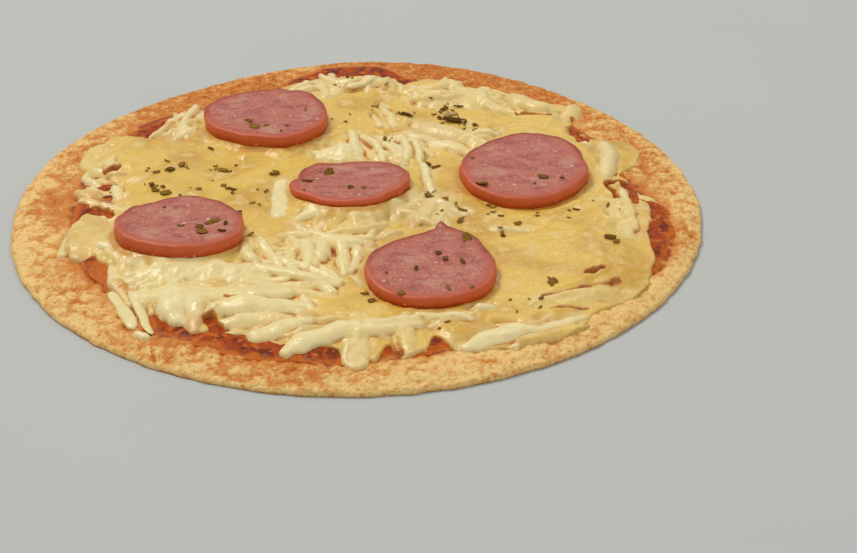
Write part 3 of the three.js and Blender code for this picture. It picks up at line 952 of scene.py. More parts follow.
SLICES = (
    Slice(
        "sausage_slice_1", -32, 53, 6.4, 21.8, 4.4, 3.0,
        Outline((
            (-180, 19), (-150, 18.5), (-122, 17.4), (-98, 18.5), (-62, 22), (-25, 23), (5, 22.3),
            (30, 23), (48, 24.8), (58, 25), (67, 23.4), (76, 24.6), (84, 22.7), (112, 22), (156, 21.4),
        )),
        raised=((10, 0.5, 50),),
        flakes=((-4, -6, 3.6), (-2, -11, 3.6), (2, -10, 1.8), (7, -15, 1.6), (15, 2, 1.8), (9, -11, 1.4)),
    ),
    Slice(
        "sausage_slice_2", -56, -22.5, 6.7, 19.8, 4.4, 4.5,
        Outline((
            (-180, 19.6), (-150, 20), (-120, 18.8), (-95, 19.2), (-60, 21.5), (-32, 22.3), (-6, 20.4),
            (35, 18.7), (60, 19.1), (85, 20), (102, 18.8), (122, 16.8), (138, 16.4), (152, 17.8),
            (168, 18.4),
        )),
        raised=((178, 1.4, 50), (150, 0.5, 22), (20, 0.3, 40)),
        groove=(-11, -1, 0, -1, 1.2, 3.6),
        flakes=(
            (1, -3, 2.6), (7, -6, 2.6), (10, -3, 3.2), (8, -10, 3.2), (14, -9, 2.6), (12, -1, 2.2),
            (15, -4, 2.0), (-5, 10, 1.6),
        ),
    ),
    Slice(
        "sausage_slice_3", -2, 3.8, 7.2, 19.0, 2.5, 7.0,
        Outline((
            (-176, 19.8), (-155, 19.8), (-135, 18.4), (-112, 18.6), (-90, 18.2), (-70, 18.6),
            (-45, 17.8), (-10, 19), (30, 19.4), (52, 19.2), (90, 17.4), (110, 16.8), (128, 18.8),
            (150, 18.8), (166, 17.8),
        )),
        raised=((0, 1.6, 60), (128, 1.2, 30), (-150, 0.6, 30)),
        groove=(-14, 5, -7, 9, 1.0, 2.2),
        flakes=((-7, 8, 5.0), (-14, 0, 3.8), (0, -7, 2.4), (4, -7, 1.8), (-15, -9, 1.2)),
    ),
    Slice(
        "sausage_slice_4", 54, 11, 6.4, 21.3, 4.4, -2.0,
        Outline((
            (-170, 20.5), (-140, 21.3), (-105, 23), (-80, 23), (-50, 21.9), (-30, 21.4), (-16, 22),
            (5, 20.9), (50, 22.8), (80, 22), (113, 19.6), (135, 18.8), (160, 19.4),
        )),
        raised=((170, 0.3, 50),),
        flakes=((-14, -13, 4.4), (6, -10, 3.6), (12, -10, 2.8), (3, -14, 1.2), (-16, 4, 1.2)),
    ),
    Slice(
        "sausage_slice_5", 21, -53, 6.5, 19.8, 4.4, -3.5,
        Outline((
            (-173, 19.4), (-135, 19.9), (-100, 19.4), (-70, 19.3), (-34, 20.7), (-10, 20), (20, 19.1),
            (56, 21), (71, 21.8), (79, 23.6), (83, 18.8), (95, 17.4), (117, 16.6), (136, 17.3),
            (165, 19),
        )),
        raised=((79, 0.9, 8), (-10, 0.4, 40)),
        flakes=(
            (12, 12, 4.6), (5, 2, 2.4), (10, 0, 3.8), (3, 5, 2.4), (-4, -3, 2.2), (-13, -5, 1.5),
            (-9, -16, 2.4), (5, -14, 2.6), (12, -14, 1.6),
        ),
    ),
)


# Cheese

@dataclass(frozen=True)
class Fan:
    """Shreds side by side, from a first to a last one, each given by (x, y) of both its ends.

    A loose fan lies on top as swept strips; the others are fused into the melt. bow is how far a
    shred's middle stands out, as a part of its length. narrow is the far ends' width and flat the
    height, both as a part of the width. cream is how pale the shreds are, and stain how much their
    far ends are tinted by the sauce.
    """

    first: Ends
    width: float
    last: Ends | None = None
    count: int = 1
    bow: float = 0.0
    narrow: float = 1.0
    flat: float = 0.5
    lift: float = 0.0
    cream: float = 0.85
    stain: float = 0.0
    loose: bool = False


@dataclass
class Shred:
    """One shred: its path, its half width at each point, how high it lies and how it leans."""

    path: Numbers
    half: Numbers
    fan: Fan
    lift: float
    roll: float

    def box(self, room: float) -> tuple[Numbers, Numbers]:
        """Corners of the box round the shred, with some room."""
        reach = float(self.half.max()) + room
        return self.path.min(axis=0) - reach, self.path.max(axis=0) + reach


FANS = (
    # lower left edge
    Fan((-75, -53, -66, -75), 4.0, loose=True),
    Fan((-68.5, -55, -60.5, -78.5), 3.6, loose=True),
    Fan((-65, -78, -62, -80), 4.6, lift=0.4),
    Fan((-61, -60, -60, -68), 3.6, cream=0.4, stain=0.6),
    Fan((-80, -28, -65, -43), 5.4, bow=0.1, lift=0.3, cream=1.0),
    Fan((-75, -33, -64, -47), 4.2, bow=0.1, cream=0.8),
    Fan((-76, -40, -73, -53), 3.8, flat=0.4, cream=0.8, stain=0.25),
    Fan((-73, -39, -69, -54), 5.6, flat=0.3, cream=0.35, stain=0.4),
    Fan((-66, -52, -51, -42), 3.6, (-59, -55, -51, -47), 2, bow=-0.06),
    Fan((-56, -56, -54, -72.5), 9.0, narrow=1.1, flat=0.32, lift=0.7, cream=1.0),
    Fan((-49.5, -58, -48, -78), 5.4, flat=0.36, lift=0.4, cream=0.95, stain=0.3),
    # broad bands below the left slice
    Fan((-66, -48, -28, -49), 11.0, (-66, -58, -24, -60), 2, flat=0.2, lift=0.3, cream=0.8),
    Fan((-60, -46, -34, -48), 3.6, (-56, -61, -27, -63), 2, flat=0.26, cream=0.95),
    Fan((-42, -68, -17, -69), 8.4, bow=0.04, flat=0.34, lift=0.4),
    Fan((-40, -75, -21, -75), 6.6, bow=0.04, flat=0.34, lift=0.3, cream=0.75, stain=0.15),
    Fan((-30, -65, -18, -72), 4.0, flat=0.36, lift=0.3, cream=0.95),
    Fan((-17, -63, -14.5, -71), 3.4, bow=-0.1, flat=0.4, lift=0.2, cream=1.0),
    Fan((-46, -69.5, -41, -68.5), 3.0, lift=0.2, cream=0.6, stain=0.25),
    Fan((-35, -46, -8, -60), 5.2, (-25, -43.5, -6, -56), 3, bow=0.05, flat=0.4, lift=0.3),
    # lower edge
    Fan((-30, -82, -15, -78), 6.4, flat=0.3, lift=0.2),
    Fan((-39, -79, -30, -80), 3.6, flat=0.3, cream=0.5, stain=0.4),
    Fan((-9, -85, 16, -78), 4.8, flat=0.4, lift=0.1, cream=0.75),
    Fan((-21.5, -91.5, -2, -82), 8.4, bow=0.06, flat=0.28, lift=0.4, cream=0.9),
    Fan((-4, -83, 16, -80), 6.0, flat=0.26, lift=0.1, cream=0.7),
    Fan((-1, -82, -1, -97), 9.0, narrow=1.1, flat=0.12, lift=0.2, cream=0.6),
    Fan((-4.5, -88, -4.5, -97), 2.6, cream=0.9),
    Fan((13, -80, 14, -93), 5.0, flat=0.14, cream=0.4, stain=0.1),
    Fan((10, -87, 11, -94), 3.2, cream=0.2, stain=0.9),
    Fan((46, -88, 66, -82), 5.6, flat=0.3, cream=0.1),
    Fan((30, -90.5, 50, -83), 8.0, narrow=0.8, flat=0.3, lift=0.6, cream=1.0),
    Fan((42, -86, 65, -76), 5.6, narrow=0.8, flat=0.3, lift=0.5, cream=0.9),
    Fan((43, -91, 45, -90), 2.6, cream=1.0),
    Fan((52, -70, 80, -64), 5.4, bow=0.02, flat=0.2, lift=-0.2, cream=0.4, stain=0.15),
    Fan((17, -75, 31, -79), 4.4, (33, -72, 39, -72), 2),
    # between the middle slice and the lower ones
    Fan((-36, -31, -32, -43), 4.8, (-29, -28, -24, -47), 2, lift=0.4),
    Fan((-17, -31, -16, -46), 5.2, (-11, -31, -10, -43), 2, flat=0.42, lift=0.3),
    Fan((-22, -38, -20, -47), 5.0, flat=0.4, lift=0.2),
    Fan((-6, -31, -5, -49), 5.0, (-1, -34, -3, -48), 2, bow=0.06, flat=0.42),
    Fan((-13, -45, -5, -54), 3.6, flat=0.4, cream=1.0),
    Fan((-3, -50, 0, -58), 2.6, cream=0.8, stain=0.2),
    Fan((-19, -16, -7, -18), 6.0, bow=0.3),
    Fan((-14, -23, 2, -29), 4.2, (-13, -27, 0, -33), 2, bow=-0.14),
    Fan((-21, -26, -15, -25), 4.0, lift=0.4),
    Fan((-3, -21, 6, -18), 11.0, flat=0.3, cream=0.45),
    Fan((1, -60, 4, -66), 1.8, cream=0.9),
    Fan((-25, 12, -25, -11), 6.6, flat=0.24, lift=0.3, cream=1.0),
    Fan((24, 0, 11, -16), 6.2, (29, -4, 23, -19), 3, flat=0.3, cream=0.6),
    # above the middle slice
    Fan((3, 43, 9, 24), 3.0, (19, 39, 19, 24), 5, bow=0.05, lift=0.7, cream=0.9),
    Fan((21, 51, 46, 34), 7.0, flat=0.36, lift=0.4, cream=0.6),
    Fan((20, 43, 38, 30), 8.0, flat=0.32, lift=0.2, cream=0.8),
    Fan((-1, 46, 0, 30), 4.6, lift=0.3, cream=1.0),
    Fan((-12, 31, 0, 32), 8.4, flat=0.22, lift=0.3, cream=1.0),
    Fan((-9, 28, -3, 26), 5.0, flat=0.4),
    Fan((22, 20, 24, 3), 3.6, lift=0.2, cream=1.0),
    Fan((40, 44, 48, 44), 5.0),
    # upper edge
    Fan((24, 69, 50, 70), 11.0, bow=-0.06, flat=0.22, cream=0.5),
    Fan((21, 71, 47, 78), 5.4, bow=-0.16, flat=0.4, lift=0.4, cream=0.5),
    Fan((45, 79, 55, 58), 5.2, bow=-0.2, flat=0.42, lift=0.4, cream=0.6),
    Fan((22, 82, 37, 87), 5.2, (33, 88, 46, 76), 2, bow=-0.1, flat=0.4, lift=0.3, cream=0.6),
    Fan((56, 71, 69, 62), 7.4, bow=-0.1, flat=0.36, lift=0.3, cream=0.55),
    Fan((56, 72, 63, 69), 2.6, cream=0.8),
    Fan((77, 67, 72, 57), 7.0, flat=0.36, cream=0.5),
    Fan((19, 86, 21, 76), 3.4, (16, 90, 16, 81), 2),
    Fan((12, 93, 10, 80), 5.0, cream=0.5, stain=0.3),
    Fan((-3, 82, 6, 94), 4.6, bow=-0.2, lift=0.3, loose=True),
    Fan((5, 80, 4, 86), 3.0),
    Fan((10, 68, 13, 52), 3.8, (6, 61, 8, 50), 2, cream=0.7),
    Fan((-24, 85, -16, 90), 5.4, (-20, 83, -14, 83), 2, cream=0.8),
    Fan((-8, 97, -4, 88), 5.0, cream=0.55, stain=0.3),
    # right edge
    Fan((83, 32, 81, 12), 6.6, bow=0.08, flat=0.4, lift=0.2, cream=0.75),
    Fan((86, 3, 87, -7), 3.2, flat=0.4, cream=0.7),
    Fan((91, -1, 95, -6), 4.6, flat=0.3, cream=0.5),
    Fan((75, 37, 79, 32), 2.6, cream=0.9),
    Fan((42, -24, 53, -25), 4.0, flat=0.4, cream=0.7),
    Fan((84, -9, 84, -27), 8.0, flat=0.08, cream=0.45),
    # left edge
    Fan((-70, 50, -62, 62), 2.6, cream=0.6, stain=0.4),
    Fan((-60, 48, -57, 74), 4.0, (-56, 50, -54, 66), 2, cream=0.8),
    Fan((-53, 72, -48, 77), 2.6, cream=0.7, stain=0.3),
    Fan((-86, 43, -86.5, 27), 8.0, bow=-0.12, flat=0.26, lift=0.2, cream=0.35),
    Fan((-86, 20, -80, 17), 4.6, flat=0.34, cream=0.5, stain=0.35),
    Fan((-91, 12, -81, 2), 5.2, flat=0.3, lift=0.2, cream=0.3, stain=0.75),
    Fan((-88, 13, -83, 8), 2.6, lift=0.4, cream=0.7, stain=0.4),
    Fan((-79, 14, -77, 6), 4.4, flat=0.36, cream=0.9),
    Fan((-82, 2, -79, -2), 3.4, cream=1.0),
    Fan((-83, -11, -86, -30), 14.0, flat=0.12, cream=0.3),
    Fan((-88, -11, -92, -29), 4.4, bow=0.06, flat=0.26, cream=0.7),
)


@dataclass(frozen=True)
class Opening:
    """A gap in the melt where the sauce shows: a path, its width and its depth."""

    path: Ends
    width: float
    depth: float = 3.0


OPENINGS = (
    Opening((76, 57, 75, 44), 2.6), Opening((75, 44, 78, 36), 3.4),
    Opening((-82.5, 23, -79, 25.5), 2.6, 1.8), Opening((70, -54, 73, -52.5), 2.2),
    Opening((54, -66, 60, -64.5), 0.6, 1.0), Opening((60, -64.5, 66, -62), 0.6, 0.8),
    Opening((66, -62, 76, -59.5), 0.6, 0.8), Opening((76, -59.5, 77.5, -58.5), 1.6, 1.4),
    Opening((55, -73.5, 67, -72), 0.6, 1.0), Opening((57, -59, 58, -57), 1.2, 0.8),
    Opening((80.5, 4.5, 86, 8.5), 1.8), Opening((86, 8.5, 89, 3), 2.0),
    Opening((89, 3, 89.5, -7), 2.2), Opening((80.5, 4.5, 84, -5), 1.4, 2.4),
    Opening((57, 58, 67, 57), 1.8, 1.4), Opening((-44, -73, -42, -77), 3.6, 2.6),
    Opening((-40, -63.5, -26, -66), 0.6, 0.5), Opening((-92, 3, -79, -6), 3.6),
)


def grid_surface(points: Numbers, kept: Numbers, floor: float, marks: dict[Mark, Numbers]) -> Surface:
    """Closes the kept cells of a grid of points with walls and a flat underside.

    Args:
        points: points of the sheet, shaped (rows, columns, 3), with X along a row.
        kept: which cells belong to the sheet, shaped (rows - 1, columns - 1), in one patch.
        floor: height of the underside.
        marks: marks at the points, shaped (rows, columns).

    Returns:
        The closed surface.
    """
    rows, columns = points.shape[:2]
    index = np.arange(rows * columns).reshape(rows, columns)
    corners = [index[:-1, :-1], index[:-1, 1:], index[1:, 1:], index[1:, :-1]]
    cells = np.stack([corner[kept] for corner in corners], axis=-1)
    used, cells = np.unique(cells, return_inverse=True)
    cells = cells.reshape(-1, 4)
    starts, ends = cells.ravel(), np.roll(cells, -1, axis=1).ravel()
    count = len(used)
    outer = ~np.isin(starts * count + ends, ends * count + starts)
    following = dict(zip(starts[outer].tolist(), ends[outer].tolist()))
    rim = [int(starts[outer][0])]
    while following[rim[-1]] != rim[0]:
        rim.append(following[rim[-1]])
    flat = points.reshape(-1, 3)[used]
    under = flat[rim].copy()
    under[:, 2] = floor
    faces = [tuple(cell) for cell in cells.tolist()]
    for i, corner in enumerate(rim):
        after = (i + 1) % len(rim)
        faces.append((corner, count + i, count + after, rim[after]))
    faces.append(tuple(count + i for i in range(len(rim) - 1, -1, -1)))
    spread = {}
    for mark, values in marks.items():
        at_top = values.ravel()[used]
        spread[mark] = np.concatenate([at_top, at_top[rim]])
    return Surface(np.vstack([flat, under]), faces, spread)


@dataclass(frozen=True)
class Tangle:
    """A spot where many short shreds lie under the others, in an ellipse.

    wide and deep are its half widths along X and Y, heading is the way that most shreds run, in
    degrees, and spread how far others turn from it.
    """

    x: float
    y: float
    wide: float
    deep: float
    heading: float
    spread: float
    count: int
    cream: float = 0.8

    HALF_LENGTH = (4.0, 9.0)
    WIDTH = (3.0, 5.2)
    BOW = 0.05
    LIFT = (-0.9, 0.0)
    PALER = (0.6, 1.1)
    STAIN = (0.0, 0.25)

    def fans(self, draw: np.random.Generator) -> list[Fan]:
        """Draws its shreds.

        Args:
            draw: the random draw.

        Returns:
            One fan of one shred each.
        """
        fans = []
        for _ in range(self.count):
            angle, reach = draw.uniform(0, TURN), math.sqrt(draw.uniform(0, 1))
            x = self.x + self.wide * reach * math.cos(angle)
            y = self.y + self.deep * reach * math.sin(angle)
            heading = math.radians(self.heading + draw.normal(0, self.spread))
            half = draw.uniform(*self.HALF_LENGTH)
            across, along = half * math.cos(heading), half * math.sin(heading)
            fans.append(
                Fan(
                    (x - across, y - along, x + across, y + along),
                    width=draw.uniform(*self.WIDTH),
                    bow=draw.normal(0, self.BOW),
                    lift=draw.uniform(*self.LIFT),
                    cream=self.cream * draw.uniform(*self.PALER),
                    stain=draw.uniform(*self.STAIN),
                )
            )
        return fans


TANGLES = (
    Tangle(-40, -58, 26, 12, -8, 12, 46), Tangle(-20, -38, 15, 9, -80, 30, 22),
    Tangle(-5, -26, 13, 7, -10, 50, 16), Tangle(-60, -60, 8, 5, -82, 15, 8),
    Tangle(-10, -80, 20, 5, 0, 20, 14, 0.6), Tangle(10, 33, 13, 9, -62, 16, 18),
    Tangle(33, 41, 12, 7, -30, 14, 8), Tangle(38, 77, 18, 7, -14, 18, 8),
    Tangle(-3, 87, 16, 5, 30, 55, 14), Tangle(-84, 14, 4, 20, -72, 22, 6),
    Tangle(21, -10, 9, 8, -50, 12, 10), Tangle(-58, 61, 8, 11, 72, 22, 10),
    Tangle(84, -14, 4, 8, -70, 25, 6, 0.5), Tangle(-68, -45, 7, 12, -60, 16, 12),
    Tangle(46, -79, 20, 5, 14, 12, 3, 0.5), Tangle(64, 66, 9, 5, -20, 20, 4, 0.6),
)


class Grid:
    """An even square grid over the whole pizza."""

    STEP = 0.32
    REACH = 104.96

    def __init__(self) -> None:
        """Places the points, in rows from near to far."""
        count = 2 * round(self.REACH / self.STEP) + 1
        self.side = np.linspace(-self.REACH, self.REACH, count)
        self.x, self.y = np.meshgrid(self.side, self.side)

    def window(self, low: Numbers, high: Numbers) -> tuple[slice, slice]:
        """Rows and columns of the points in a box between two corners."""
        first, last = np.searchsorted(self.side, low), np.searchsorted(self.side, high)
        return slice(first[1], last[1]), slice(first[0], last[0])

    def sample(self, values: Numbers, x: Numbers, y: Numbers) -> Numbers:
        """Values of the grid at any places, from the four points round each.

        Args:
            values: values at the points of the grid.
            x: places along X.
            y: places along Y.

        Returns:
            The values there.
        """
        last = len(self.side) - 2
        u, v = (np.asarray(x) + self.REACH) / self.STEP, (np.asarray(y) + self.REACH) / self.STEP
        column, row = np.clip(u.astype(int), 0, last), np.clip(v.astype(int), 0, last)
        s, t = np.clip(u - column, 0, 1), np.clip(v - row, 0, 1)
        near = values[row, column] * (1 - s) + values[row, column + 1] * s
        far = values[row + 1, column] * (1 - s) + values[row + 1, column + 1] * s
        return near * (1 - t) + far * t

    def eased(self, values: Numbers, reach: float) -> Numbers:
        """Values averaged with those round them.

        Args:
            values: values at the points of the grid.
            reach: how far the average reaches, in millimetres.

        Returns:
            The averaged values.
        """
        steps = max(round(2 * reach / self.STEP), 1)
        weights = bell(np.arange(-steps, steps + 1) * self.STEP, reach)
        weights = weights / weights.sum()
        for axis in (0, 1):
            padded = np.pad(values, [(steps, steps) if i == axis else (0, 0) for i in (0, 1)], mode="edge")
            count = values.shape[axis]
            total = np.zeros_like(values)
            for i, weight in enumerate(weights):
                total += weight * np.take(padded, np.arange(i, i + count), axis=axis)
            values = total
        return values


@dataclass(frozen=True)
class Quarter:
    """One of the four parts that the cheese's mesh is made in, by the side of each axis it lies on."""

    east: int
    north: int

    OVERLAP = 1.5
    SINK = 0.3

    def beyond(self, x: Numbers, y: Numbers) -> tuple[Numbers, Numbers]:
        """How far places lie past the quarter's two straight sides."""
        return np.clip(-self.east * x, 0, None), np.clip(-self.north * y, 0, None)

    def kept(self, x: Numbers, y: Numbers) -> Numbers:
        """Which places belong to the quarter, with the part that dips under its neighbours."""
        across, along = self.beyond(x, y)
        return (across < self.OVERLAP) & (along < self.OVERLAP)

    def sunk(self, x: Numbers, y: Numbers) -> Numbers:
        """How far the quarter dips under its neighbours."""
        across, along = self.beyond(x, y)
        return self.SINK * ((across / self.OVERLAP) ** 3 + (along / self.OVERLAP) ** 3)


QUARTERS = (Quarter(-1, -1), Quarter(1, -1), Quarter(-1, 1), Quarter(1, 1))


class Cheese:
    """The melted cheese with the shreds that are fused into it, and the loose ones on it.

    BROWNER_SPOT is the (x, y, reach) of a stretch whose creases are browner.
    """

    SEED = 41
    FLOOR = 2.0
    HIDDEN = 1.3
    EDGE_ROUND = 1.0
    EDGE_THICKNESS = 0.7
    EDGE_RUN = 12.0
    EDGE_WANDER = 1.3
    SWELL = 0.35
    SWELL_SIZE = 30.0
    RIPPLE = 0.1
    RIPPLE_SIZE = 6.0
    BED_SINK = 1.1
    BED_SHARE = 0.8
    BED_CREAM = 0.4
    NEAR_ROOM = 3.0
    NEAR_REACH = 1.35
    UNDER_SHADE = 0.3
    FLATNESS = 0.46
    SUNK = 0.34
    PILE = 0.45
    DRAPING = 4
    FUSING = 0.15
    PATH_POINTS = 17
    WAVER = 0.7
    WAVER_SIZE = 9.0
    STRAY = 0.8
    STRAY_BOW = 0.03
    STRAY_LIFT = (-0.5, 0.2)
    STRAY_ROLL = 0.16
    STRAY_WIDTH = 0.15
    UNEVEN_WIDTH = 0.22
    BLUNT = (0.5, 0.85)
    CLEARANCE = 0.6
    RIDGES = 190
    RIDGE_REACH = 92.0
    RIDGE_LENGTH = (10.0, 30.0)
    RIDGE_HALF = (1.1, 2.4)
    RIDGE_RISE = (0.12, 0.5)
    RIDGE_SPREAD = 0.35
    RIDGE_BOW = 0.06
    GAP_UNEVEN = 0.7
    GAP_TINT = 0.75
    FIT_ROOM = 9.0
    FIT_SINK = 0.12
    MOUND = 3.4
    CLIMB = 0.65
    CLIMB_WIDTH = 0.7
    OIL_SHADE_START = 0.5
    OIL_SHADE_WIDTH = 1.5
    OIL_SHADE_SIZE = 11.0
    OIL_SHADE_MOST = 0.34
    CREASE_REACH = 1.3
    SOFTENED = 0.25
    LUMPS = 0.14
    LUMP_SIZE = 2.6
    WARMTH = 0.42
    BROWNER = 0.4
    BROWNER_SPOT = (-8, -34, 20)
    THIN_TINT = 0.14

    def __init__(self) -> None:
        """Melts the sheet and lays the shreds, one on the other."""
        self.draw = np.random.default_rng(self.SEED)
        self.grain = Grain(self.SEED)
        self.grid = Grid()
        x, y = self.grid.x, self.grid.y
        tangled = [fan for tangle in TANGLES for fan in tangle.fans(self.draw)]
        self.shreds = [shred for fan in (*tangled, *FANS) for shred in self.shreds_of(fan)]
        self.under = self.ground(x, y)
        self.cream = np.zeros_like(x)
        self.stain = np.zeros_like(x)
        self.height = self.bed()
        self.base = self.height.copy()
        for shred in self.shreds:
            if shred.fan.loose:
                self.shade_under(shred)
            else:
                self.lay(shred)
        self.open()
        for piece in SLICES:
            self.fit(piece)
        self.crease()

    def shreds_of(self, fan: Fan) -> list[Shred]:
        """The shreds of one fan that run clear of the slices.

        Args:
            fan: the fan.

        Returns:
            Its shreds.
        """
        shreds = []
        last = fan.last or fan.first
        for i in range(fan.count):
            part = i / max(fan.count - 1, 1)
            ends = np.array(fan.first) * (1 - part) + np.array(last) * part
            if fan.count > 1:
                ends = ends + self.draw.normal(0.0, self.STRAY, 4)
            path = self.bowed(ends[:2], ends[2:], fan.bow + self.draw.normal(0.0, self.STRAY_BOW))
            half = self.half_widths(fan, ends)
            kept = self.clear_of_slices(path, half)
            if len(kept) > 2:
                lift = fan.lift + self.draw.uniform(*self.STRAY_LIFT)
                roll = self.draw.normal(0.0, self.STRAY_ROLL)
                shreds.append(Shred(path[kept], half[kept], fan, lift, roll))
        return shreds

    def half_widths(self, fan: Fan, ends: Numbers) -> Numbers:
        """Half width along one shred of a fan, uneven and with blunt ends.

        Args:
            fan: the fan.
            ends: both ends of the shred, as (x, y, x, y).

        Returns:
            The half width at each point of its path.
        """
        t = np.linspace(0.0, 1.0, self.PATH_POINTS)
        swell = 1 + self.UNEVEN_WIDTH * self.grain.at(t * 3.1 + ends[0], np.full_like(t, ends[1]), 1.0)
        first, last = self.draw.uniform(*self.BLUNT, 2)
        taper = (first + (1 - first) * smooth(0.0, 0.2, t)) * (last + (1 - last) * smooth(1.0, 0.8, t))
        narrowed = 1 + (fan.narrow - 1) * t
        stray = self.draw.uniform(-self.STRAY_WIDTH, self.STRAY_WIDTH)
        return fan.width / 2 * swell * taper * narrowed * (1 + stray)

    def bowed(self, start: Numbers, end: Numbers, bow: float) -> Numbers:
        """A slightly wavering path from start to end.

        Args:
            start: first point.
            end: last point.
            bow: how far the middle stands out, as a part of the length.

        Returns:
            Points of the path.
        """
        run = end - start
        aside = np.array([-run[1], run[0]])
        bend = (start + end) / 2 + 2 * bow * aside
        t = np.linspace(0.0, 1.0, self.PATH_POINTS)[:, None]
        path = start * (1 - t) ** 2 + bend * 2 * t * (1 - t) + end * t**2
        waver = self.grain.at(path[:, 0] * 1.7, path[:, 1] * 1.7, self.WAVER_SIZE)
        return path + waver[:, None] * aside / max(float(np.hypot(*aside)), 1e-6) * self.WAVER

    def clear_of_slices(self, path: Numbers, half: Numbers) -> list[int]:
        """Finds the longest stretch of a path that runs clear of the slices.

        Args:
            path: points of the path.
            half: half width of the shred at each point.

        Returns:
            Numbers of the points of that stretch.
        """
        best: list[int] = []
        run: list[int] = []
        for i, point in enumerate(path):
            gaps = [np.hypot(point[0] - s.x, point[1] - s.y) - s.radius for s in SLICES]
            run = [*run, i] if min(gaps) > self.CLEARANCE * half[i] else []
            if len(run) > len(best):
                best = run
        return best

    def reach(self, angle: Numbers) -> Numbers:
        """Radius of the melt's uneven edge at each heading."""
        wander = self.grain.layers(angle * 95 + 400, np.zeros_like(angle), 8.0)
        return MELT_OUTLINE.at(angle) + self.EDGE_WANDER * wander

    def ground(self, x: Numbers, y: Numbers) -> Numbers:
        """Height of the sauce or the crust at places."""
        over = SAUCE_OUTLINE.at(np.arctan2(y, x)) - np.hypot(x, y)
        return HEIGHTS.crust + (HEIGHTS.sauce - HEIGHTS.crust) * smooth(-1.0, 2.0, over)

    def ridge_path(self) -> Numbers:
        """Draws the path of one low ridge, which runs much like its neighbours.

        Returns:
            Points of the path.
        """
        angle = self.draw.uniform(0, TURN)
        outward = np.array([math.cos(angle), math.sin(angle)])
        start = outward * self.RIDGE_REACH * math.sqrt(self.draw.uniform(0, 1))
        heading = 2.4 * float(self.grain.at(start[:1], start[1:], 40.0)[0]) + 0.4
        heading = heading + self.draw.normal(0.0, self.RIDGE_SPREAD)
        length = self.draw.uniform(*self.RIDGE_LENGTH)
        end = start + length * np.array([math.cos(heading), math.sin(heading)])
        return self.bowed(start, end, self.draw.normal(0.0, self.RIDGE_BOW))

    def melt(self) -> Numbers:
        """Height of the melt with the low ridges of shreds that have run into it.

        Returns:
            The heights on the grid.
        """
        x, y = self.grid.x, self.grid.y
        height = HEIGHTS.melt + self.SWELL * self.grain.layers(x, y, self.SWELL_SIZE)
        height = height + self.RIPPLE * self.grain.layers(x + 200, y, self.RIPPLE_SIZE, 2)
        for _ in range(self.RIDGES):
            path = self.ridge_path()
            half, rise = self.draw.uniform(*self.RIDGE_HALF), self.draw.uniform(*self.RIDGE_RISE)
            at = self.grid.window(path.min(axis=0) - 3 * half, path.max(axis=0) + 3 * half)
            away, along, _ = nearest_on_path(x[at], y[at], path)
            ends = smooth(0.0, 0.25, along) * smooth(1.0, 0.75, along)
            height[at] = height[at] + rise * ends * bell(away, half)
        return height

    def beside(self, shred: Shred) -> tuple[tuple[slice, slice], Numbers]:
        """Finds the points of the grid on and beside a shred.

        Args:
            shred: the shred.

        Returns:
            A window of the grid, and how near its points lie to the shred, from 0 to 1.
        """
        at = self.grid.window(*shred.box(self.NEAR_ROOM))
        away, _, _ = nearest_on_path(self.grid.x[at], self.grid.y[at], shred.path)
        return at, np.exp(-((away / (self.NEAR_REACH * shred.half.mean())) ** 4))

    def bed(self) -> Numbers:
        """Height of the melt, thin at its edge and sunk between the shreds.

        Returns:
            The heights on the grid, which lie below the ground outside the melt.
        """
        x, y = self.grid.x, self.grid.y
        near = np.zeros_like(x)
        for shred in self.shreds:
            at, close = self.beside(shred)
            near[at] = np.maximum(near[at], close)
        pits = np.clip(0.6 + 0.9 * self.grain.at(x, y, 4.0), 0.1, 1.6)
        self.cream = self.BED_CREAM * near
        inset = self.reach(np.arctan2(y, x)) - np.hypot(x, y)
        full = self.melt() - self.under
        thickness = self.EDGE_THICKNESS + (full - self.EDGE_THICKNESS) * smooth(0.0, self.EDGE_RUN, inset)
        thickness = thickness - np.minimum(self.BED_SINK * near * pits, self.BED_SHARE * thickness)
        part = np.clip(inset / self.EDGE_ROUND, 0, 1)
        rounding = np.sqrt(1 - (1 - part) ** 2)
        return np.where(inset > 0, self.under - 0.1 + thickness * rounding, self.under - self.HIDDEN)

    def foot(self, shred: Shred) -> Numbers:
        """Height that a shred sinks to, draped over the shreds below it.

        Args:
            shred: the shred.

        Returns:
            The height at each point of its path.
        """
        x, y = shred.path[:, 0], shred.path[:, 1]
        base = self.grid.sample(self.base, x, y)
        lie = base + self.PILE * (self.grid.sample(self.height, x, y) - base)
        lie = np.maximum(lie, self.ground(x, y))
        for _ in range(self.DRAPING):
            padded = np.pad(lie, 1, mode="edge")
            lie = 0.5 * lie + 0.25 * (padded[:-2] + padded[2:])
        return lie + shred.lift

    def lay(self, shred: Shred) -> None:
        """Fuses one shred into the cheese below it.

        Args:
            shred: the shred.
        """
        at = self.grid.window(*shred.box(1.0))
        away, along, side = nearest_on_path(self.grid.x[at], self.grid.y[at], shred.path)
        steps = np.linspace(0, 1, len(shred.path))
        half = np.interp(along, steps, shred.half)
        across = np.clip(away / half, 0, 1)
        dome = (1 - across**2.4) ** 0.7
        crown = np.interp(along, steps, self.foot(shred)) + 2 * shred.fan.flat * half * (dome - self.SUNK)
        crown = crown + shred.roll * side * away * dome
        crown = np.where(away < half, crown, 0.0)
        height = self.height[at]
        shows = smooth(-0.15, 0.3, crown - height)
        tip = 0.2 + 0.8 * smooth(0.3, 1.0, along)
        self.cream[at] += (shred.fan.cream - self.cream[at]) * shows
        self.stain[at] += (shred.fan.stain * tip - self.stain[at]) * shows
        self.height[at] = self.FUSING * np.logaddexp(height / self.FUSING, crown / self.FUSING)

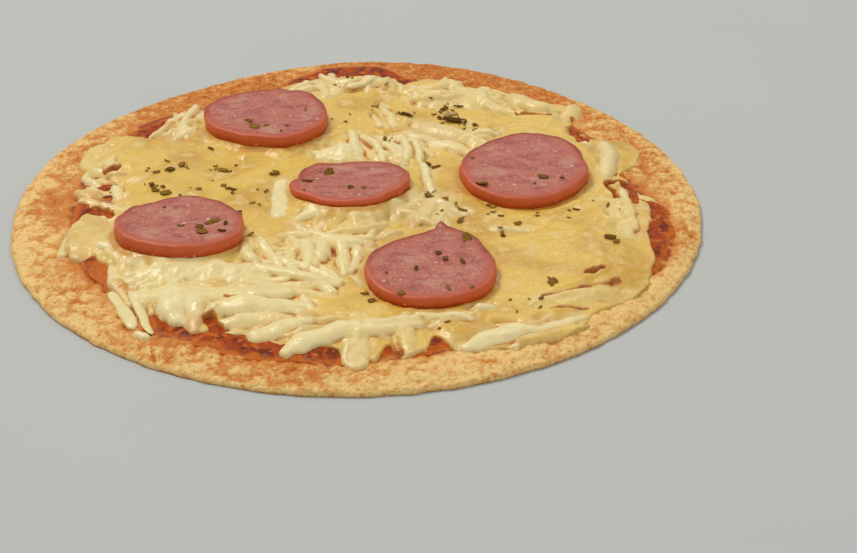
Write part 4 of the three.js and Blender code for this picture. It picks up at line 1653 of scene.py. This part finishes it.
    def shade_under(self, shred: Shred) -> None:
        """Paints shade, as a stain, on the cheese under a loose shred."""
        at, close = self.beside(shred)
        self.stain[at] = np.maximum(self.stain[at], self.UNDER_SHADE * close)

    def open(self) -> None:
        """Cuts the gaps where the sauce shows."""
        for opening in OPENINGS:
            ends = np.array(opening.path).reshape(2, 2)
            room = 3 * opening.width
            at = self.grid.window(ends.min(axis=0) - room, ends.max(axis=0) + room)
            x, y = self.grid.x[at], self.grid.y[at]
            away, _, _ = nearest_on_path(x, y, ends)
            wide = opening.width / 2 * (1 + self.GAP_UNEVEN * self.grain.layers(x, y, 3.0, 2))
            self.height[at] -= opening.depth * (1 - smooth(0.6, 1.25, away / wide))
            tint = self.GAP_TINT * (1 - smooth(0.9, 1.9, away / wide))
            self.stain[at] = np.maximum(self.stain[at], tint)

    def fit(self, piece: Slice) -> None:
        """Fits the melt under and round a slice.

        Args:
            piece: the slice.
        """
        middle = np.array([piece.x, piece.y])
        room = piece.radius + self.FIT_ROOM
        at = self.grid.window(middle - room, middle + room)
        x, y = self.grid.x[at], self.grid.y[at]
        east, north = x - piece.x, y - piece.y
        out = np.hypot(east, north) - piece.outline.at(np.arctan2(north, east))
        under = piece.under(x, y) - self.FIT_SINK + self.CLIMB * bell(out, self.CLIMB_WIDTH)
        inside = smooth(0.9, 0.1, out)
        height = self.height[at]
        uneven = self.grain.layers(x + 31, y, 5.0, 2)
        mound = bell(np.clip(out, 0, None), self.MOUND * (1 + 0.5 * uneven))
        height = height + np.clip(under + 0.3 + 0.7 * uneven - height, 0, None) * mound
        fitted = height * (1 - inside) + under * inside
        self.height[at] = np.where(out < self.FIT_ROOM, fitted, self.height[at])
        # amber tint round each slice: oil on the cheese together with painted contact shade
        oil_and_shade = bell(np.clip(out - self.OIL_SHADE_START, 0, None), self.OIL_SHADE_WIDTH)
        oil_and_shade = oil_and_shade * (0.3 + 0.7 * self.grain.at(x, y, self.OIL_SHADE_SIZE))
        self.stain[at] = np.maximum(self.stain[at], np.clip(oil_and_shade, 0, self.OIL_SHADE_MOST))

    def crease(self) -> None:
        """Softens the cheese, stains some creases with oil, paints shade into creases and highlights onto
        crests, tints its thin edge.
        """
        self.height = self.grid.eased(self.height, self.SOFTENED)
        x, y = self.grid.x, self.grid.y
        lumps = self.LUMPS * self.grain.layers(x, y + 90, self.LUMP_SIZE, 2)
        self.height += lumps * smooth(0.2, 1.2, self.height - self.under)
        depth = self.grid.eased(self.height, self.CREASE_REACH) - self.height
        crease = smooth(0.08, 0.7, depth) * (depth < 3.0)
        browner = self.BROWNER * spot(x, y, *self.BROWNER_SPOT)
        warm = np.clip(self.WARMTH + browner + 0.8 * self.grain.layers(x, y + 40, 22.0, 2), 0.1, 1.0)
        self.stain = np.maximum(self.stain, warm * crease)
        # painted shade in the creases, less where oil tints them
        self.shade = crease * (1 - 0.6 * warm)
        # painted highlight: crests of the cheese are made paler cream
        self.cream = np.clip(self.cream + 0.25 * smooth(0.1, 0.7, -depth), 0, 1)
        over = self.height - self.under
        thin = smooth(1.5, 0.3, over) * smooth(-0.4, 0.2, over)
        self.stain = np.maximum(self.stain, self.THIN_TINT * thin)

    def quarter(self, part: Quarter, name: str, material: Material) -> Object:
        """Makes a quarter of the cheese.

        Args:
            part: which quarter.
            name: name of the piece.
            material: the cheese finish.

        Returns:
            The piece.
        """
        x, y = self.grid.x, self.grid.y
        middle_x, middle_y = (x[:-1, :-1] + x[1:, 1:]) / 2, (y[:-1, :-1] + y[1:, 1:]) / 2
        kept = part.kept(middle_x, middle_y) & (np.hypot(middle_x, middle_y) < self.grid.REACH - 0.5)
        height = np.maximum(self.height - part.sunk(x, y), HEIGHTS.crust - self.HIDDEN)
        marks = {Mark.CREAM_AND_HIGHLIGHT: self.cream, Mark.STAIN: self.stain, Mark.SHADE: self.shade}
        surface = grid_surface(np.stack([x, y, height], axis=-1), kept, self.FLOOR, marks)
        piece = surface.to_object(name, material)
        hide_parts("cheese")
        return dress(piece)

    def strands(self, material: Material) -> Object:
        """Makes the loose shreds, swept along their paths by Geometry Nodes.

        Args:
            material: the cheese finish.

        Returns:
            The piece.
        """
        points: list[tuple[float, ...]] = []
        edges: list[tuple[int, int]] = []
        names = ("half", "roll", Mark.CREAM_AND_HIGHLIGHT.value, Mark.STAIN.value)
        values: dict[str, list[float]] = {name: [] for name in names}
        for shred in self.shreds:
            if not shred.fan.loose:
                continue
            heights = self.foot(shred) + self.FLATNESS * shred.half * 0.75
            edges += [(i, i + 1) for i in range(len(points), len(points) + len(heights) - 1)]
            points += [(x, y, z) for (x, y), z in zip(shred.path, heights)]
            for name, value in zip(names, (shred.half * MM, shred.roll, shred.fan.cream, shred.fan.stain)):
                values[name].extend(np.full(len(heights), value))
        paths = carrier("shred_paths", np.array(points), edges, values)
        piece = SweptShreds(material).apply(paths, "loose_cheese_shreds", {"Flatness": self.FLATNESS})
        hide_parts("cheese")
        return dress(piece)


# Geometry Nodes

class GeometryMaker(Tree):
    """A Geometry Nodes tree with named inputs, whose result becomes a plain mesh."""

    NAME = "geometry"
    INPUTS: tuple[tuple[str, str, float], ...] = ()

    def __init__(self, material: Material) -> None:
        """Builds the tree.

        Args:
            material: the finish of the result.
        """
        super().__init__(bpy.data.node_groups.new(self.NAME, "GeometryNodeTree"))
        face = self.nodes.interface
        face.new_socket("Geometry", in_out="INPUT", socket_type="NodeSocketGeometry")
        face.new_socket("Geometry", in_out="OUTPUT", socket_type="NodeSocketGeometry")
        self.sockets: dict[str, str] = {}
        for name, kind, value in self.INPUTS:
            socket = face.new_socket(name, in_out="INPUT", socket_type=kind)
            socket.default_value = value
            self.sockets[name] = socket.identifier
        self.start = self.add("NodeGroupInput")
        made = self.build(self.start.outputs["Geometry"])
        smooth_faces = self.add("GeometryNodeSetShadeSmooth", Geometry=made)
        real = self.add("GeometryNodeRealizeInstances", Geometry=smooth_faces.outputs[0])
        dressed = self.add("GeometryNodeSetMaterial", Geometry=real.outputs[0], Material=material)
        self.add("NodeGroupOutput", Geometry=dressed.outputs[0])

    def build(self, geometry: NodeSocket) -> NodeSocket:
        """Adds the nodes between the input and the finishing nodes."""
        raise NotImplementedError

    def value(self, name: str) -> Term:
        """A named input of the tree as a term."""
        return Term(self, self.start.outputs[name])

    def named(self, name: str) -> Term:
        """A number that the points carry under a name."""
        return self.term("Attribute", "GeometryNodeInputNamedAttribute", {"data_type": "FLOAT"}, Name=name)

    def vector(self, x: object, y: object, z: object) -> NodeSocket:
        """A vector of three values."""
        return self.add("ShaderNodeCombineXYZ", X=x, Y=y, Z=z).outputs[0]

    def position(self) -> tuple[Term, ...]:
        """The three parts of each point's place."""
        place = self.add("GeometryNodeInputPosition").outputs[0]
        return tuple(Term(self, part) for part in self.add("ShaderNodeSeparateXYZ", Vector=place).outputs)

    def moved(self, geometry: NodeSocket, direction: NodeSocket, far: object) -> NodeSocket:
        """Moves points along a direction, by a multiple of it."""
        push = self.add("ShaderNodeVectorMath", {"operation": "SCALE"}, Vector=direction, Scale=far)
        return self.add("GeometryNodeSetPosition", Geometry=geometry, Offset=push.outputs[0]).outputs[0]

    def apply(self, source: Object, name: str, values: dict[str, float]) -> Object:
        """Runs the tree on an object and keeps the result as a plain mesh.

        Args:
            source: the object that carries the input; it is removed.
            name: name of the result.
            values: values of the tree's named inputs.

        Returns:
            The made object.
        """
        modifier = source.modifiers.new(self.NAME, "NODES")
        modifier.node_group = self.nodes
        for key, value in values.items():
            modifier[self.sockets[key]] = value
        depsgraph = bpy.context.evaluated_depsgraph_get()
        mesh = bpy.data.meshes.new_from_object(source.evaluated_get(depsgraph))
        mesh.name = name
        made = linked(name, mesh)
        source.modifiers.clear()
        bpy.data.objects.remove(source)
        return made


class SweptShreds(GeometryMaker):
    """Sweeps a flattened round section along each path, with rounded ends."""

    NAME = "swept_shreds"
    INPUTS = (
        ("Flatness", "NodeSocketFloat", 0.7),
        ("Step", "NodeSocketFloat", 0.0009),
        ("Sides", "NodeSocketInt", 12),
        ("Unevenness", "NodeSocketFloat", 0.0005),
    )
    SWELL_SIZE = 5.0

    def build(self, geometry: NodeSocket) -> NodeSocket:
        """Adds the sweep.

        Args:
            geometry: paths as edges, with a half width and a roll at each point.

        Returns:
            The swept shreds.
        """
        curve = self.add("GeometryNodeMeshToCurve", Mesh=geometry).outputs[0]
        spline = self.add("GeometryNodeCurveSplineType", {"spline_type": "CATMULL_ROM"}, Curve=curve)
        step = self.value("Step")
        even = self.add(
            "GeometryNodeResampleCurve", {"mode": "LENGTH"}, Curve=spline.outputs[0], Length=step
        )
        along = self.term("Length", "GeometryNodeSplineParameter")
        whole = self.term("Length", "GeometryNodeSplineLength")
        half = self.named("half")
        part = (along.least(whole - along) / half).held()
        ends = (1.0 - (1.0 - part) * (1.0 - part)).held() ** 0.5
        upright = self.add("GeometryNodeSetCurveNormal", {"mode": "Z_UP"}, Curve=even.outputs[0])
        level = self.add("GeometryNodeSetCurveTilt", Curve=upright.outputs[0], Tilt=self.named("roll"))
        ring = self.add("GeometryNodeCurvePrimitiveCircle", Resolution=self.value("Sides"), Radius=1.0)
        x, y, _ = self.position()
        square = (x**4.0 + y**4.0) ** -0.2
        outline = self.vector(x * square, y * square * self.value("Flatness"), 0.0)
        section = self.add("GeometryNodeSetPosition", Geometry=ring.outputs[0], Position=outline)
        swept = self.add(
            "GeometryNodeCurveToMesh",
            Curve=level.outputs[0],
            Profile_Curve=section.outputs[0],
            Scale=half * (ends * 0.9 + 0.1),
            Fill_Caps=True,
        )
        swell = self.term(0, "ShaderNodeTexNoise", Scale=1 / (self.SWELL_SIZE * MM), Detail=2.0)
        height = (swell - 0.5) * self.value("Unevenness")
        normal = self.add("GeometryNodeInputNormal").outputs[0]
        return self.moved(swept.outputs[0], normal, height)


# Bread and sauce

class Crust:
    """The flatbread with its bumps, pits and rounded edge.

    STAINS holds (x, y, reach, gain) of spots where the sauce soaks in further, TOASTED the same of
    spots that are browner or paler, and SCARS (x, y, x, y, width) of cracks. The rings of the edge
    are (part of its rounding, part of the height): TOP_EDGE from the top, LOW_EDGE above the floor.
    """

    SEED = 11
    STEPS = 1390
    BAND_START = 86.0
    BAND_RINGS = 54
    EDGE_ROUND = 1.2
    EDGE_WAVER = 0.3
    TOP_EDGE = ((0.8, 0.03), (0.5, 0.12), (0.25, 0.26), (0.08, 0.42), (0.0, 0.6))
    LOW_EDGE = ((0.0, 0.3), (0.08, 0.12), (0.22, 0.03), (0.4, 0.0))
    EDGE_TOAST = 0.1
    LOW_TOAST = 0.3
    RIM_RUN = 5.5
    RIM_SINK = 0.5
    UNDER_RINGS = 8
    UNDER_TOAST = 0.7
    UNDER_PITS = 0.06
    BUMP = 0.66
    BUMP_PALE_AND_HIGHLIGHT = 0.85
    SWELL = 0.16
    PITS = 0.6
    STAIN_WIDTH = 1.8
    STAINS = (
        (-87, -36, 13, 7.0), (-90, 8, 14, 9.0), (-97, -4, 7, 8.0), (-80, 60, 12, 3.0),
        (96, 8, 10, 5.0), (-62, -76, 7, 15.0), (-74, -62, 8, 5.0),
    )
    SCARS = ((-86.2, -36, -84.4, -35.4, 1.1), (-60.5, -84, -59.5, -90, 0.5), (-59.5, -90, -58.2, -97, 0.4))
    SCAR_TOAST = 1.3
    SCAR_DEPTH = 0.4
    PATCHES = 0.34
    PATCH_SIZE = 24.0
    RIM_PALE = 0.26
    FAR_SHADE = 0.45
    TOASTED = (
        (-25, -98, 28, 0.45), (80, -70, 36, -0.55), (45, -103, 26, -0.45), (8, -112, 14, -0.5),
        (105, 0, 12, -0.4), (107, -30, 12, 0.5), (98, 32, 16, 0.2), (-66, -72, 13, 0.35),
        (-78, -60, 12, 0.1), (-98, -45, 12, -0.1), (-98, 8, 18, 0.3), (20, 104, 44, 0.3),
        (66, 86, 16, 0.5),
    )

    def __init__(self) -> None:
        """Draws the noise of the relief."""
        self.grain = Grain(self.SEED)

    def relief(self, x: Numbers, y: Numbers) -> tuple[Numbers, Numbers]:
        """Bumps and pits of the top.

        Args:
            x: places along X.
            y: places along Y.

        Returns:
            Their height, at most about 0, and how much the bumps stand out, about -0.5 to 0.5.
        """
        small = self.grain.bumps(x, y, 1.9) * (0.6 + 0.4 * self.grain.at(x, y, 9.0))
        large = self.grain.bumps(x + 77, y, 4.2)
        pits = np.clip(self.grain.at(x, y + 250, 1.6) - 0.4, 0, 1)
        swell = self.grain.layers(x, y, 11.0, 2)
        height = -1.0 + self.BUMP * small + self.BUMP * large + self.SWELL * swell - self.PITS * pits
        return height, 0.5 * small + 0.7 * large - 0.5

    def stained(self, x: Numbers, y: Numbers, beyond: Numbers) -> Numbers:
        """How much the sauce has tinted the bread.

        Args:
            x: places along X.
            y: places along Y.
            beyond: how far the places lie past the edge of the sauce.

        Returns:
            The tint, from 0 to 1.
        """
        width = self.STAIN_WIDTH * (1 + 0.8 * self.grain.layers(x, y, 12.0, 2))
        for east, north, reach, gain in self.STAINS:
            width = width + gain * spot(x, y, east, north, reach)
        return 0.9 * np.exp(-np.clip(beyond, 0, None) / np.clip(width, 0.4, None))

    def toast_and_far_shade(self, x: Numbers, y: Numbers) -> Numbers:
        """How toasted the top is, apart from its rim, bumps and cracks, with painted shade darkening it
        toward the far side.

        Args:
            x: places along X.
            y: places along Y.

        Returns:
            The toasting, about 0.5 for an even tan.
        """
        toast = self.PATCHES * self.grain.layers(x, y, self.PATCH_SIZE)
        # painted shade: darker toward the far side
        toast = toast + self.FAR_SHADE * smooth(30.0, 100.0, y)
        for east, north, reach, gain in self.TOASTED:
            toast = toast + gain * spot(x, y, east, north, reach)
        return 0.5 + toast

    def cracked(self, x: Numbers, y: Numbers) -> Numbers:
        """How deep in a crack places lie.

        Args:
            x: places along X.
            y: places along Y.

        Returns:
            The depth, from 0 to about 1.
        """
        deep = np.zeros_like(x)
        for *ends, width in self.SCARS:
            away, _, _ = nearest_on_path(x, y, np.array(ends).reshape(2, 2))
            deep = deep + bell(away, width)
        return deep

    def make(self, material: Material) -> Object:
        """Makes the crust in place of its solid.

        Args:
            material: the crust finish.

        Returns:
            The piece.
        """
        rings = Rings(self.STEPS)
        angle = rings.angle
        edge = CRUST_OUTLINE.at(angle) + self.EDGE_WAVER * self.grain.at(angle * 110, 0 * angle, 4.0)
        sauce = SAUCE_OUTLINE.at(angle)

        def add_row(reach: Numbers, height: Numbers, toast: Numbers) -> None:
            """Adds one ring of points with its marks."""
            stain = self.stained(*around(angle, reach), reach - sauce)
            rings.add(reach, height, {Mark.STAIN: stain, Mark.TOAST_AND_SHADING: toast})

        far = smooth(-0.2, 0.6, np.sin(angle))
        rim_height = HEIGHTS.rim_near + (HEIGHTS.rim_far - HEIGHTS.rim_near) * far
        for part in np.linspace(0.0, 1.0, self.BAND_RINGS):
            reach = self.BAND_START + part * (edge - self.EDGE_ROUND - self.BAND_START)
            x, y = around(angle, reach)
            height, bump = self.relief(x, y)
            cracked = self.cracked(x, y)
            thin = smooth(self.RIM_RUN, 0.0, edge - reach) * smooth(0.0, 2.0, reach - sauce)
            top = HEIGHTS.crust + height * smooth(84.0, 92.0, reach) * (1 - 0.6 * thin)
            top = top - (HEIGHTS.crust - self.RIM_SINK - rim_height) * thin - self.SCAR_DEPTH * cracked
            rim = smooth(0.7, 0.97, np.full_like(angle, part))
            toast = self.toast_and_far_shade(x, y) + self.SCAR_TOAST * cracked
            # bump tops are paler: both a paler bread tone and a painted highlight
            add_row(reach, top, toast - self.RIM_PALE * rim - self.BUMP_PALE_AND_HIGHLIGHT * bump)
        for inset, fall in self.TOP_EDGE:
            add_row(edge - inset * self.EDGE_ROUND, top * (1 - fall), np.full_like(angle, self.EDGE_TOAST))
        for inset, height in self.LOW_EDGE:
            inner = edge - inset * self.EDGE_ROUND
            add_row(inner, top * height, np.full_like(angle, self.LOW_TOAST))
        for part in np.linspace(0.96, 0.04, self.UNDER_RINGS):
            x, y = around(angle, part * inner)
            toast = self.UNDER_TOAST + 0.5 * self.grain.layers(x, y, 16.0, 2)
            pits = self.UNDER_PITS * np.clip(self.grain.at(x, y, 6.0), 0, 1)
            rings.add(part * inner, pits, {Mark.STAIN: np.zeros_like(angle), Mark.TOAST_AND_SHADING: toast})
        surface = rings.closed(HEIGHTS.crust, 0.0)
        piece = surface.to_object("flatbread_crust", material)
        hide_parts("crust")
        return dress(piece)


class Sauce:
    """The layer of sauce with bits of pulp and a ragged edge.

    SPARSE_SPOT is the (x, y, reach) of a stretch where the sauce is thin.
    """

    SEED = 23
    RAGGED = 1.6
    THIN_RUN = 5.5
    SPARSE = 0.9
    SPARSE_SPOT = (-78, -42, 14)
    PULP = 0.22
    LUMPS = 0.2
    SUNK = 0.45
    UNDER = 0.6
    STEPS = 900
    BAND_START = 62.0
    BAND_RINGS = 44

    def __init__(self) -> None:
        """Draws the noise of the relief."""
        self.grain = Grain(self.SEED)

    def make(self, material: Material) -> Object:
        """Makes the sauce in place of its solid.

        Args:
            material: the sauce finish.

        Returns:
            The piece.
        """
        rings = Rings(self.STEPS)
        angle = rings.angle
        edge = SAUCE_OUTLINE.at(angle) + self.RAGGED * self.grain.layers(*around(angle, 95), 12.0)
        for part in np.linspace(0.0, 1.0, self.BAND_RINGS):
            reach = self.BAND_START + part * (edge - self.BAND_START)
            x, y = around(angle, reach)
            sparse = self.SPARSE * spot(x, y, *self.SPARSE_SPOT)
            thin = np.maximum(smooth(self.THIN_RUN, 0.0, edge - reach), sparse)
            pulp = self.PULP * self.grain.layers(x, y, 5.0)
            pulp = pulp + self.LUMPS * np.clip(self.grain.at(x, y, 2.4), 0, 1)
            depth = HEIGHTS.sauce - HEIGHTS.crust + 0.35 + pulp
            fall = smooth(0.0, 3.0, edge - reach)
            rings.add(reach, HEIGHTS.crust - self.SUNK + depth * (0.08 + 0.92 * fall), {Mark.STAIN: thin})
        under = HEIGHTS.crust - self.UNDER
        rings.add(edge, np.full_like(angle, under), {Mark.STAIN: np.ones_like(angle)})
        surface = rings.closed(HEIGHTS.sauce, under)
        piece = surface.to_object("tomato_sauce_layer", material)
        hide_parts("sauce")
        return dress(piece)


# Herb

class ScatteredFlakes(GeometryMaker):
    """Puts a curled leaf flake on each point, turned and sized as the point says."""

    NAME = "scattered_flakes"
    INPUTS = (
        ("Width", "NodeSocketFloat", 0.6),
        ("Thickness", "NodeSocketFloat", 0.07),
        ("Curl", "NodeSocketFloat", 0.2),
    )
    RUMPLE = 0.5
    RUMPLE_SIZE = 1.2

    def build(self, geometry: NodeSocket) -> NodeSocket:
        """Adds the flake and its copies.

        Args:
            geometry: points with a size, a breadth, a spin, a tilt and a pitch.

        Returns:
            The flakes.
        """
        block = self.add(
            "GeometryNodeMeshCube",
            Size=self.vector(1.0, self.value("Width"), self.value("Thickness")),
            Vertices_X=7,
            Vertices_Y=4,
            Vertices_Z=2,
        )
        x, y, z = self.position()
        taper = (1.0 - (x * 2.0) ** 2.0 * 0.75).held() ** 0.5
        lift = (y * y * 4.0 + x * x * 0.8) * self.value("Curl")
        form = self.vector(x, y * taper, z + lift)
        leaf = self.add("GeometryNodeSetPosition", Geometry=block.outputs["Mesh"], Position=form)
        turn = self.vector(self.named("tilt"), self.named("pitch"), self.named("spin"))
        size = self.named("size")
        copies = self.add(
            "GeometryNodeInstanceOnPoints",
            Points=geometry,
            Instance=leaf.outputs[0],
            Rotation=turn,
            Scale=self.vector(size, size * self.named("breadth"), size),
        )
        real = self.add("GeometryNodeRealizeInstances", Geometry=copies.outputs[0])
        noise = self.add("ShaderNodeTexNoise", Scale=1 / (self.RUMPLE_SIZE * MM), Detail=2.0)
        half = self.add(
            "ShaderNodeVectorMath", {"operation": "SUBTRACT"}, _0=noise.outputs[1], _1=(0.5, 0.5, 0.5)
        )
        return self.moved(real.outputs[0], half.outputs[0], self.RUMPLE * MM)


class Herbs:
    """Flakes of dried herb on the cheese and on the slices.

    PATCHES holds (x, y, spread along X, spread along Y, count) of the sprinkles on the cheese, and
    STEMS (x, y, length, heading in degrees, shade) of the narrow bits.
    """

    SEED = 7
    LIE = 0.14
    CURL = 0.2
    CLEARANCE = 1.5
    LENGTH = (0.9, 3.6)
    BREADTH = (0.4, 1.5)
    LONG = 4.0
    TIPPING = (0.25, 0.2)
    SHADE = (0.42, 0.25)
    STEM_BREADTH = 0.5
    STEM_PITCH = 0.12
    PATCHES = (
        (-57, 22, 9, 2.5, 13), (-63, 10, 3.5, 2.5, 8), (-54, 8, 2, 2, 2), (-41.5, 7, 1.5, 3, 6),
        (-45, 19, 3, 3, 6), (-30, 6, 4, 2, 3), (-37, -11, 1, 1, 2), (-25, 16, 2, 3, 3),
        (-64, -6, 2, 2, 1), (-42, 36, 5, 3, 3), (34, 60, 4, 5, 18), (41, 49, 3, 3, 7),
        (18, 58, 1.5, 1.5, 4), (7, 64.5, 2.5, 2.5, 5), (10, 38, 3, 3, 3), (26, 22, 4, 4, 4),
        (26, -2, 3, 3, 4), (-4, 56, 2, 2, 3), (-5, 88, 3, 2, 4), (12, 83, 2, 2, 2),
        (31, -14, 6, 4, 6), (45, -14, 4, 3, 5), (44, -29, 3, 3, 3), (58, -20, 6, 4, 6),
        (66, -14, 3, 3, 3), (78, -9, 3, 3, 3), (57, -59, 2, 2, 3), (50, -74, 6, 3, 5),
        (82, -34, 3, 3, 2), (-30, -28, 6, 4, 5), (-30, -4, 5, 4, 3), (-56, 4, 4, 3, 2),
        (2, -65, 2, 2, 3), (20, -80, 4, 2, 2),
    )
    STEMS = (
        (33, 57, 5.0, 20, 0.0), (34, 52.5, 8.0, -8, 0.9), (37, 52, 4.0, 86, 0.0), (31, 62, 4.4, 50, 0.6),
        (36, 64, 3.4, 10, 0.7), (18, 58, 4.2, -30, 0.9),
    )

    def __init__(self, cheese: Cheese) -> None:
        """Keeps the cheese that the flakes lie on."""
        self.cheese = cheese
        self.draw = np.random.default_rng(self.SEED)
        self.rows: list[tuple[float, ...]] = []

    def lay(self, x: float, y: float, z: float, length: float) -> None:
        """Lays one flake with a random turn and shape.

        Args:
            x: its place along X.
            y: its place along Y.
            z: its height.
            length: its length.
        """
        draw = self.draw
        breadth = float(draw.uniform(*self.BREADTH)) if length < self.LONG else 1.0
        spin = float(draw.uniform(0, TURN))
        tilt, pitch = draw.normal(0.0, self.TIPPING)
        shade = float(np.clip(draw.normal(*self.SHADE), 0.16, 1.0))
        self.rows.append((x, y, z, length * MM, breadth, spin, tilt, pitch, shade))

    def make(self, material: Material) -> Object:
        """Lays the flakes and makes them one piece.

        Args:
            material: the herb finish.

        Returns:
            The piece.
        """
        grid, height = self.cheese.grid, self.cheese.height
        for *middle, wide, deep, count in self.PATCHES:
            for _ in range(count):
                x, y = self.draw.normal(middle, (wide, deep))
                if min(np.hypot(x - s.x, y - s.y) - s.radius for s in SLICES) < self.CLEARANCE:
                    continue
                z = float(grid.sample(height, x, y))
                length = float(np.clip(self.draw.lognormal(0.5, 0.4), *self.LENGTH))
                self.lay(x, y, z + self.LIE, length)
        for x, y, length, heading, shade in self.STEMS:
            z = float(grid.sample(height, x, y)) + 2 * self.LIE
            form = (self.STEM_BREADTH, math.radians(heading), 0.0, self.STEM_PITCH, shade)
            self.rows.append((x, y, z, length * MM, *form))
        for piece in SLICES:
            for x, y, length in piece.flakes:
                z = float(piece.face_height(np.array([x]), np.array([y]))[0])
                place = piece.placed(np.array([x, y, z + self.LIE]))
                self.lay(*place, length)
        rows = np.array(self.rows)
        names = ("size", "breadth", "spin", "tilt", "pitch", "shade")
        values = {name: rows[:, column] for column, name in enumerate(names, 3)}
        places = carrier("flake_places", rows[:, :3], [], values)
        piece = ScatteredFlakes(material).apply(places, "dried_herb_flakes", {"Curl": self.CURL})
        return dress(piece)


# Stage

@dataclass(frozen=True)
class Viewpoint:
    """Where the photograph was taken from, in millimetres and degrees."""

    distance: float = 700.0
    elevation: float = 28.16
    aim: tuple[float, float] = (21.1, -42.7)
    roll: float = -0.60
    focal_pixels: float = 2161.0
    image_width: float = 857.0
    sensor: float = 36.0

    def camera(self) -> Object:
        """Makes the camera.

        Returns:
            The camera.
        """
        high = math.radians(self.elevation)
        place = Vector((0.0, -math.cos(high), math.sin(high))) * self.distance * MM
        ahead = (Vector((self.aim[0], self.aim[1], 0.0)) * MM - place).normalized()
        right = ahead.cross(Vector((0.0, 0.0, 1.0))).normalized()
        up = right.cross(ahead)
        roll = math.radians(self.roll)
        right, up = (
            right * math.cos(roll) + up * math.sin(roll),
            up * math.cos(roll) - right * math.sin(roll),
        )
        data = bpy.data.cameras.new("viewpoint")
        data.sensor_width = self.sensor
        data.lens = self.focal_pixels / self.image_width * self.sensor
        data.clip_start = 0.01
        made = linked("viewpoint", data)
        turned = Matrix((right, up, -ahead)).transposed().to_4x4()
        made.matrix_world = Matrix.Translation(place) @ turned
        return made


@dataclass(frozen=True)
class Softbox:
    """One soft area light: where it stands, its size and its power."""

    name: str
    place: tuple[float, float, float]
    size: float
    power: float
    warmth: tuple[float, float, float] = (1.0, 1.0, 1.0)

    def make(self) -> None:
        """Makes the light, aimed at the pizza."""
        data = bpy.data.lights.new(self.name, "AREA")
        data.shape = "DISK"
        data.size = self.size
        data.energy = self.power
        data.color = self.warmth
        made = linked(self.name, data)
        made.location = self.place
        made.rotation_euler = (-Vector(self.place)).to_track_quat("-Z", "Y").to_euler()


class Studio:
    """Pale floor, soft light and the camera."""

    FLOOR_REACH = 6.0
    SKY = (0.95, 0.98, 1.0)
    SKY_LEVEL = 0.46
    LIGHTS = (
        Softbox("key", (-1.1, 1.0, 2.4), 1.0, 38.0, (1.0, 0.97, 0.92)),
        Softbox("fill", (1.5, -1.8, 2.3), 1.8, 15.0),
        Softbox("window", (0.4, 2.2, 1.9), 0.5, 4.0),
    )

    def make(self) -> None:
        """Sets up the stage."""
        reach = self.FLOOR_REACH / 2 / MM
        corners = np.array([[-1, -1, 0], [1, -1, 0], [1, 1, 0], [-1, 1, 0]]) * reach
        floor = Surface(corners.astype(float), [(0, 1, 2, 3)]).to_object("floor", FloorFinish().material())
        for light in self.LIGHTS:
            light.make()
        scene = bpy.context.scene
        world = bpy.data.worlds.new("studio")
        world.use_nodes = True
        backdrop = world.node_tree.nodes["Background"]
        backdrop.inputs["Color"].default_value = (*self.SKY, 1.0)
        backdrop.inputs["Strength"].default_value = self.SKY_LEVEL
        scene.world = world
        scene.view_settings.view_transform = "Standard"
        scene.camera = Viewpoint().camera()


def dress(piece: Object) -> Object:
    """Makes a piece ride with the pizza.

    Args:
        piece: the piece.

    Returns:
        The piece.
    """
    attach(piece, "root")
    LOG.info("%s: %d faces", piece.name, len(piece.data.polygons))
    return piece


def main() -> None:
    """Makes every piece in order."""
    logging.basicConfig(level=logging.INFO)
    Studio().make()
    Crust().make(CrustFinish().material())
    Sauce().make(SauceFinish().material())
    cheese = Cheese()
    cheese_finish = CheeseFinish().material()
    for number, part in enumerate(QUARTERS, 1):
        cheese.quarter(part, f"melted_cheese_{number}", cheese_finish)
    cheese.strands(cheese_finish)
    meat = SausageFinish().material()
    for piece in SLICES:
        piece.make(meat)
    Herbs(cheese).make(HerbFinish().material())


if __name__ == "__main__":
    main()
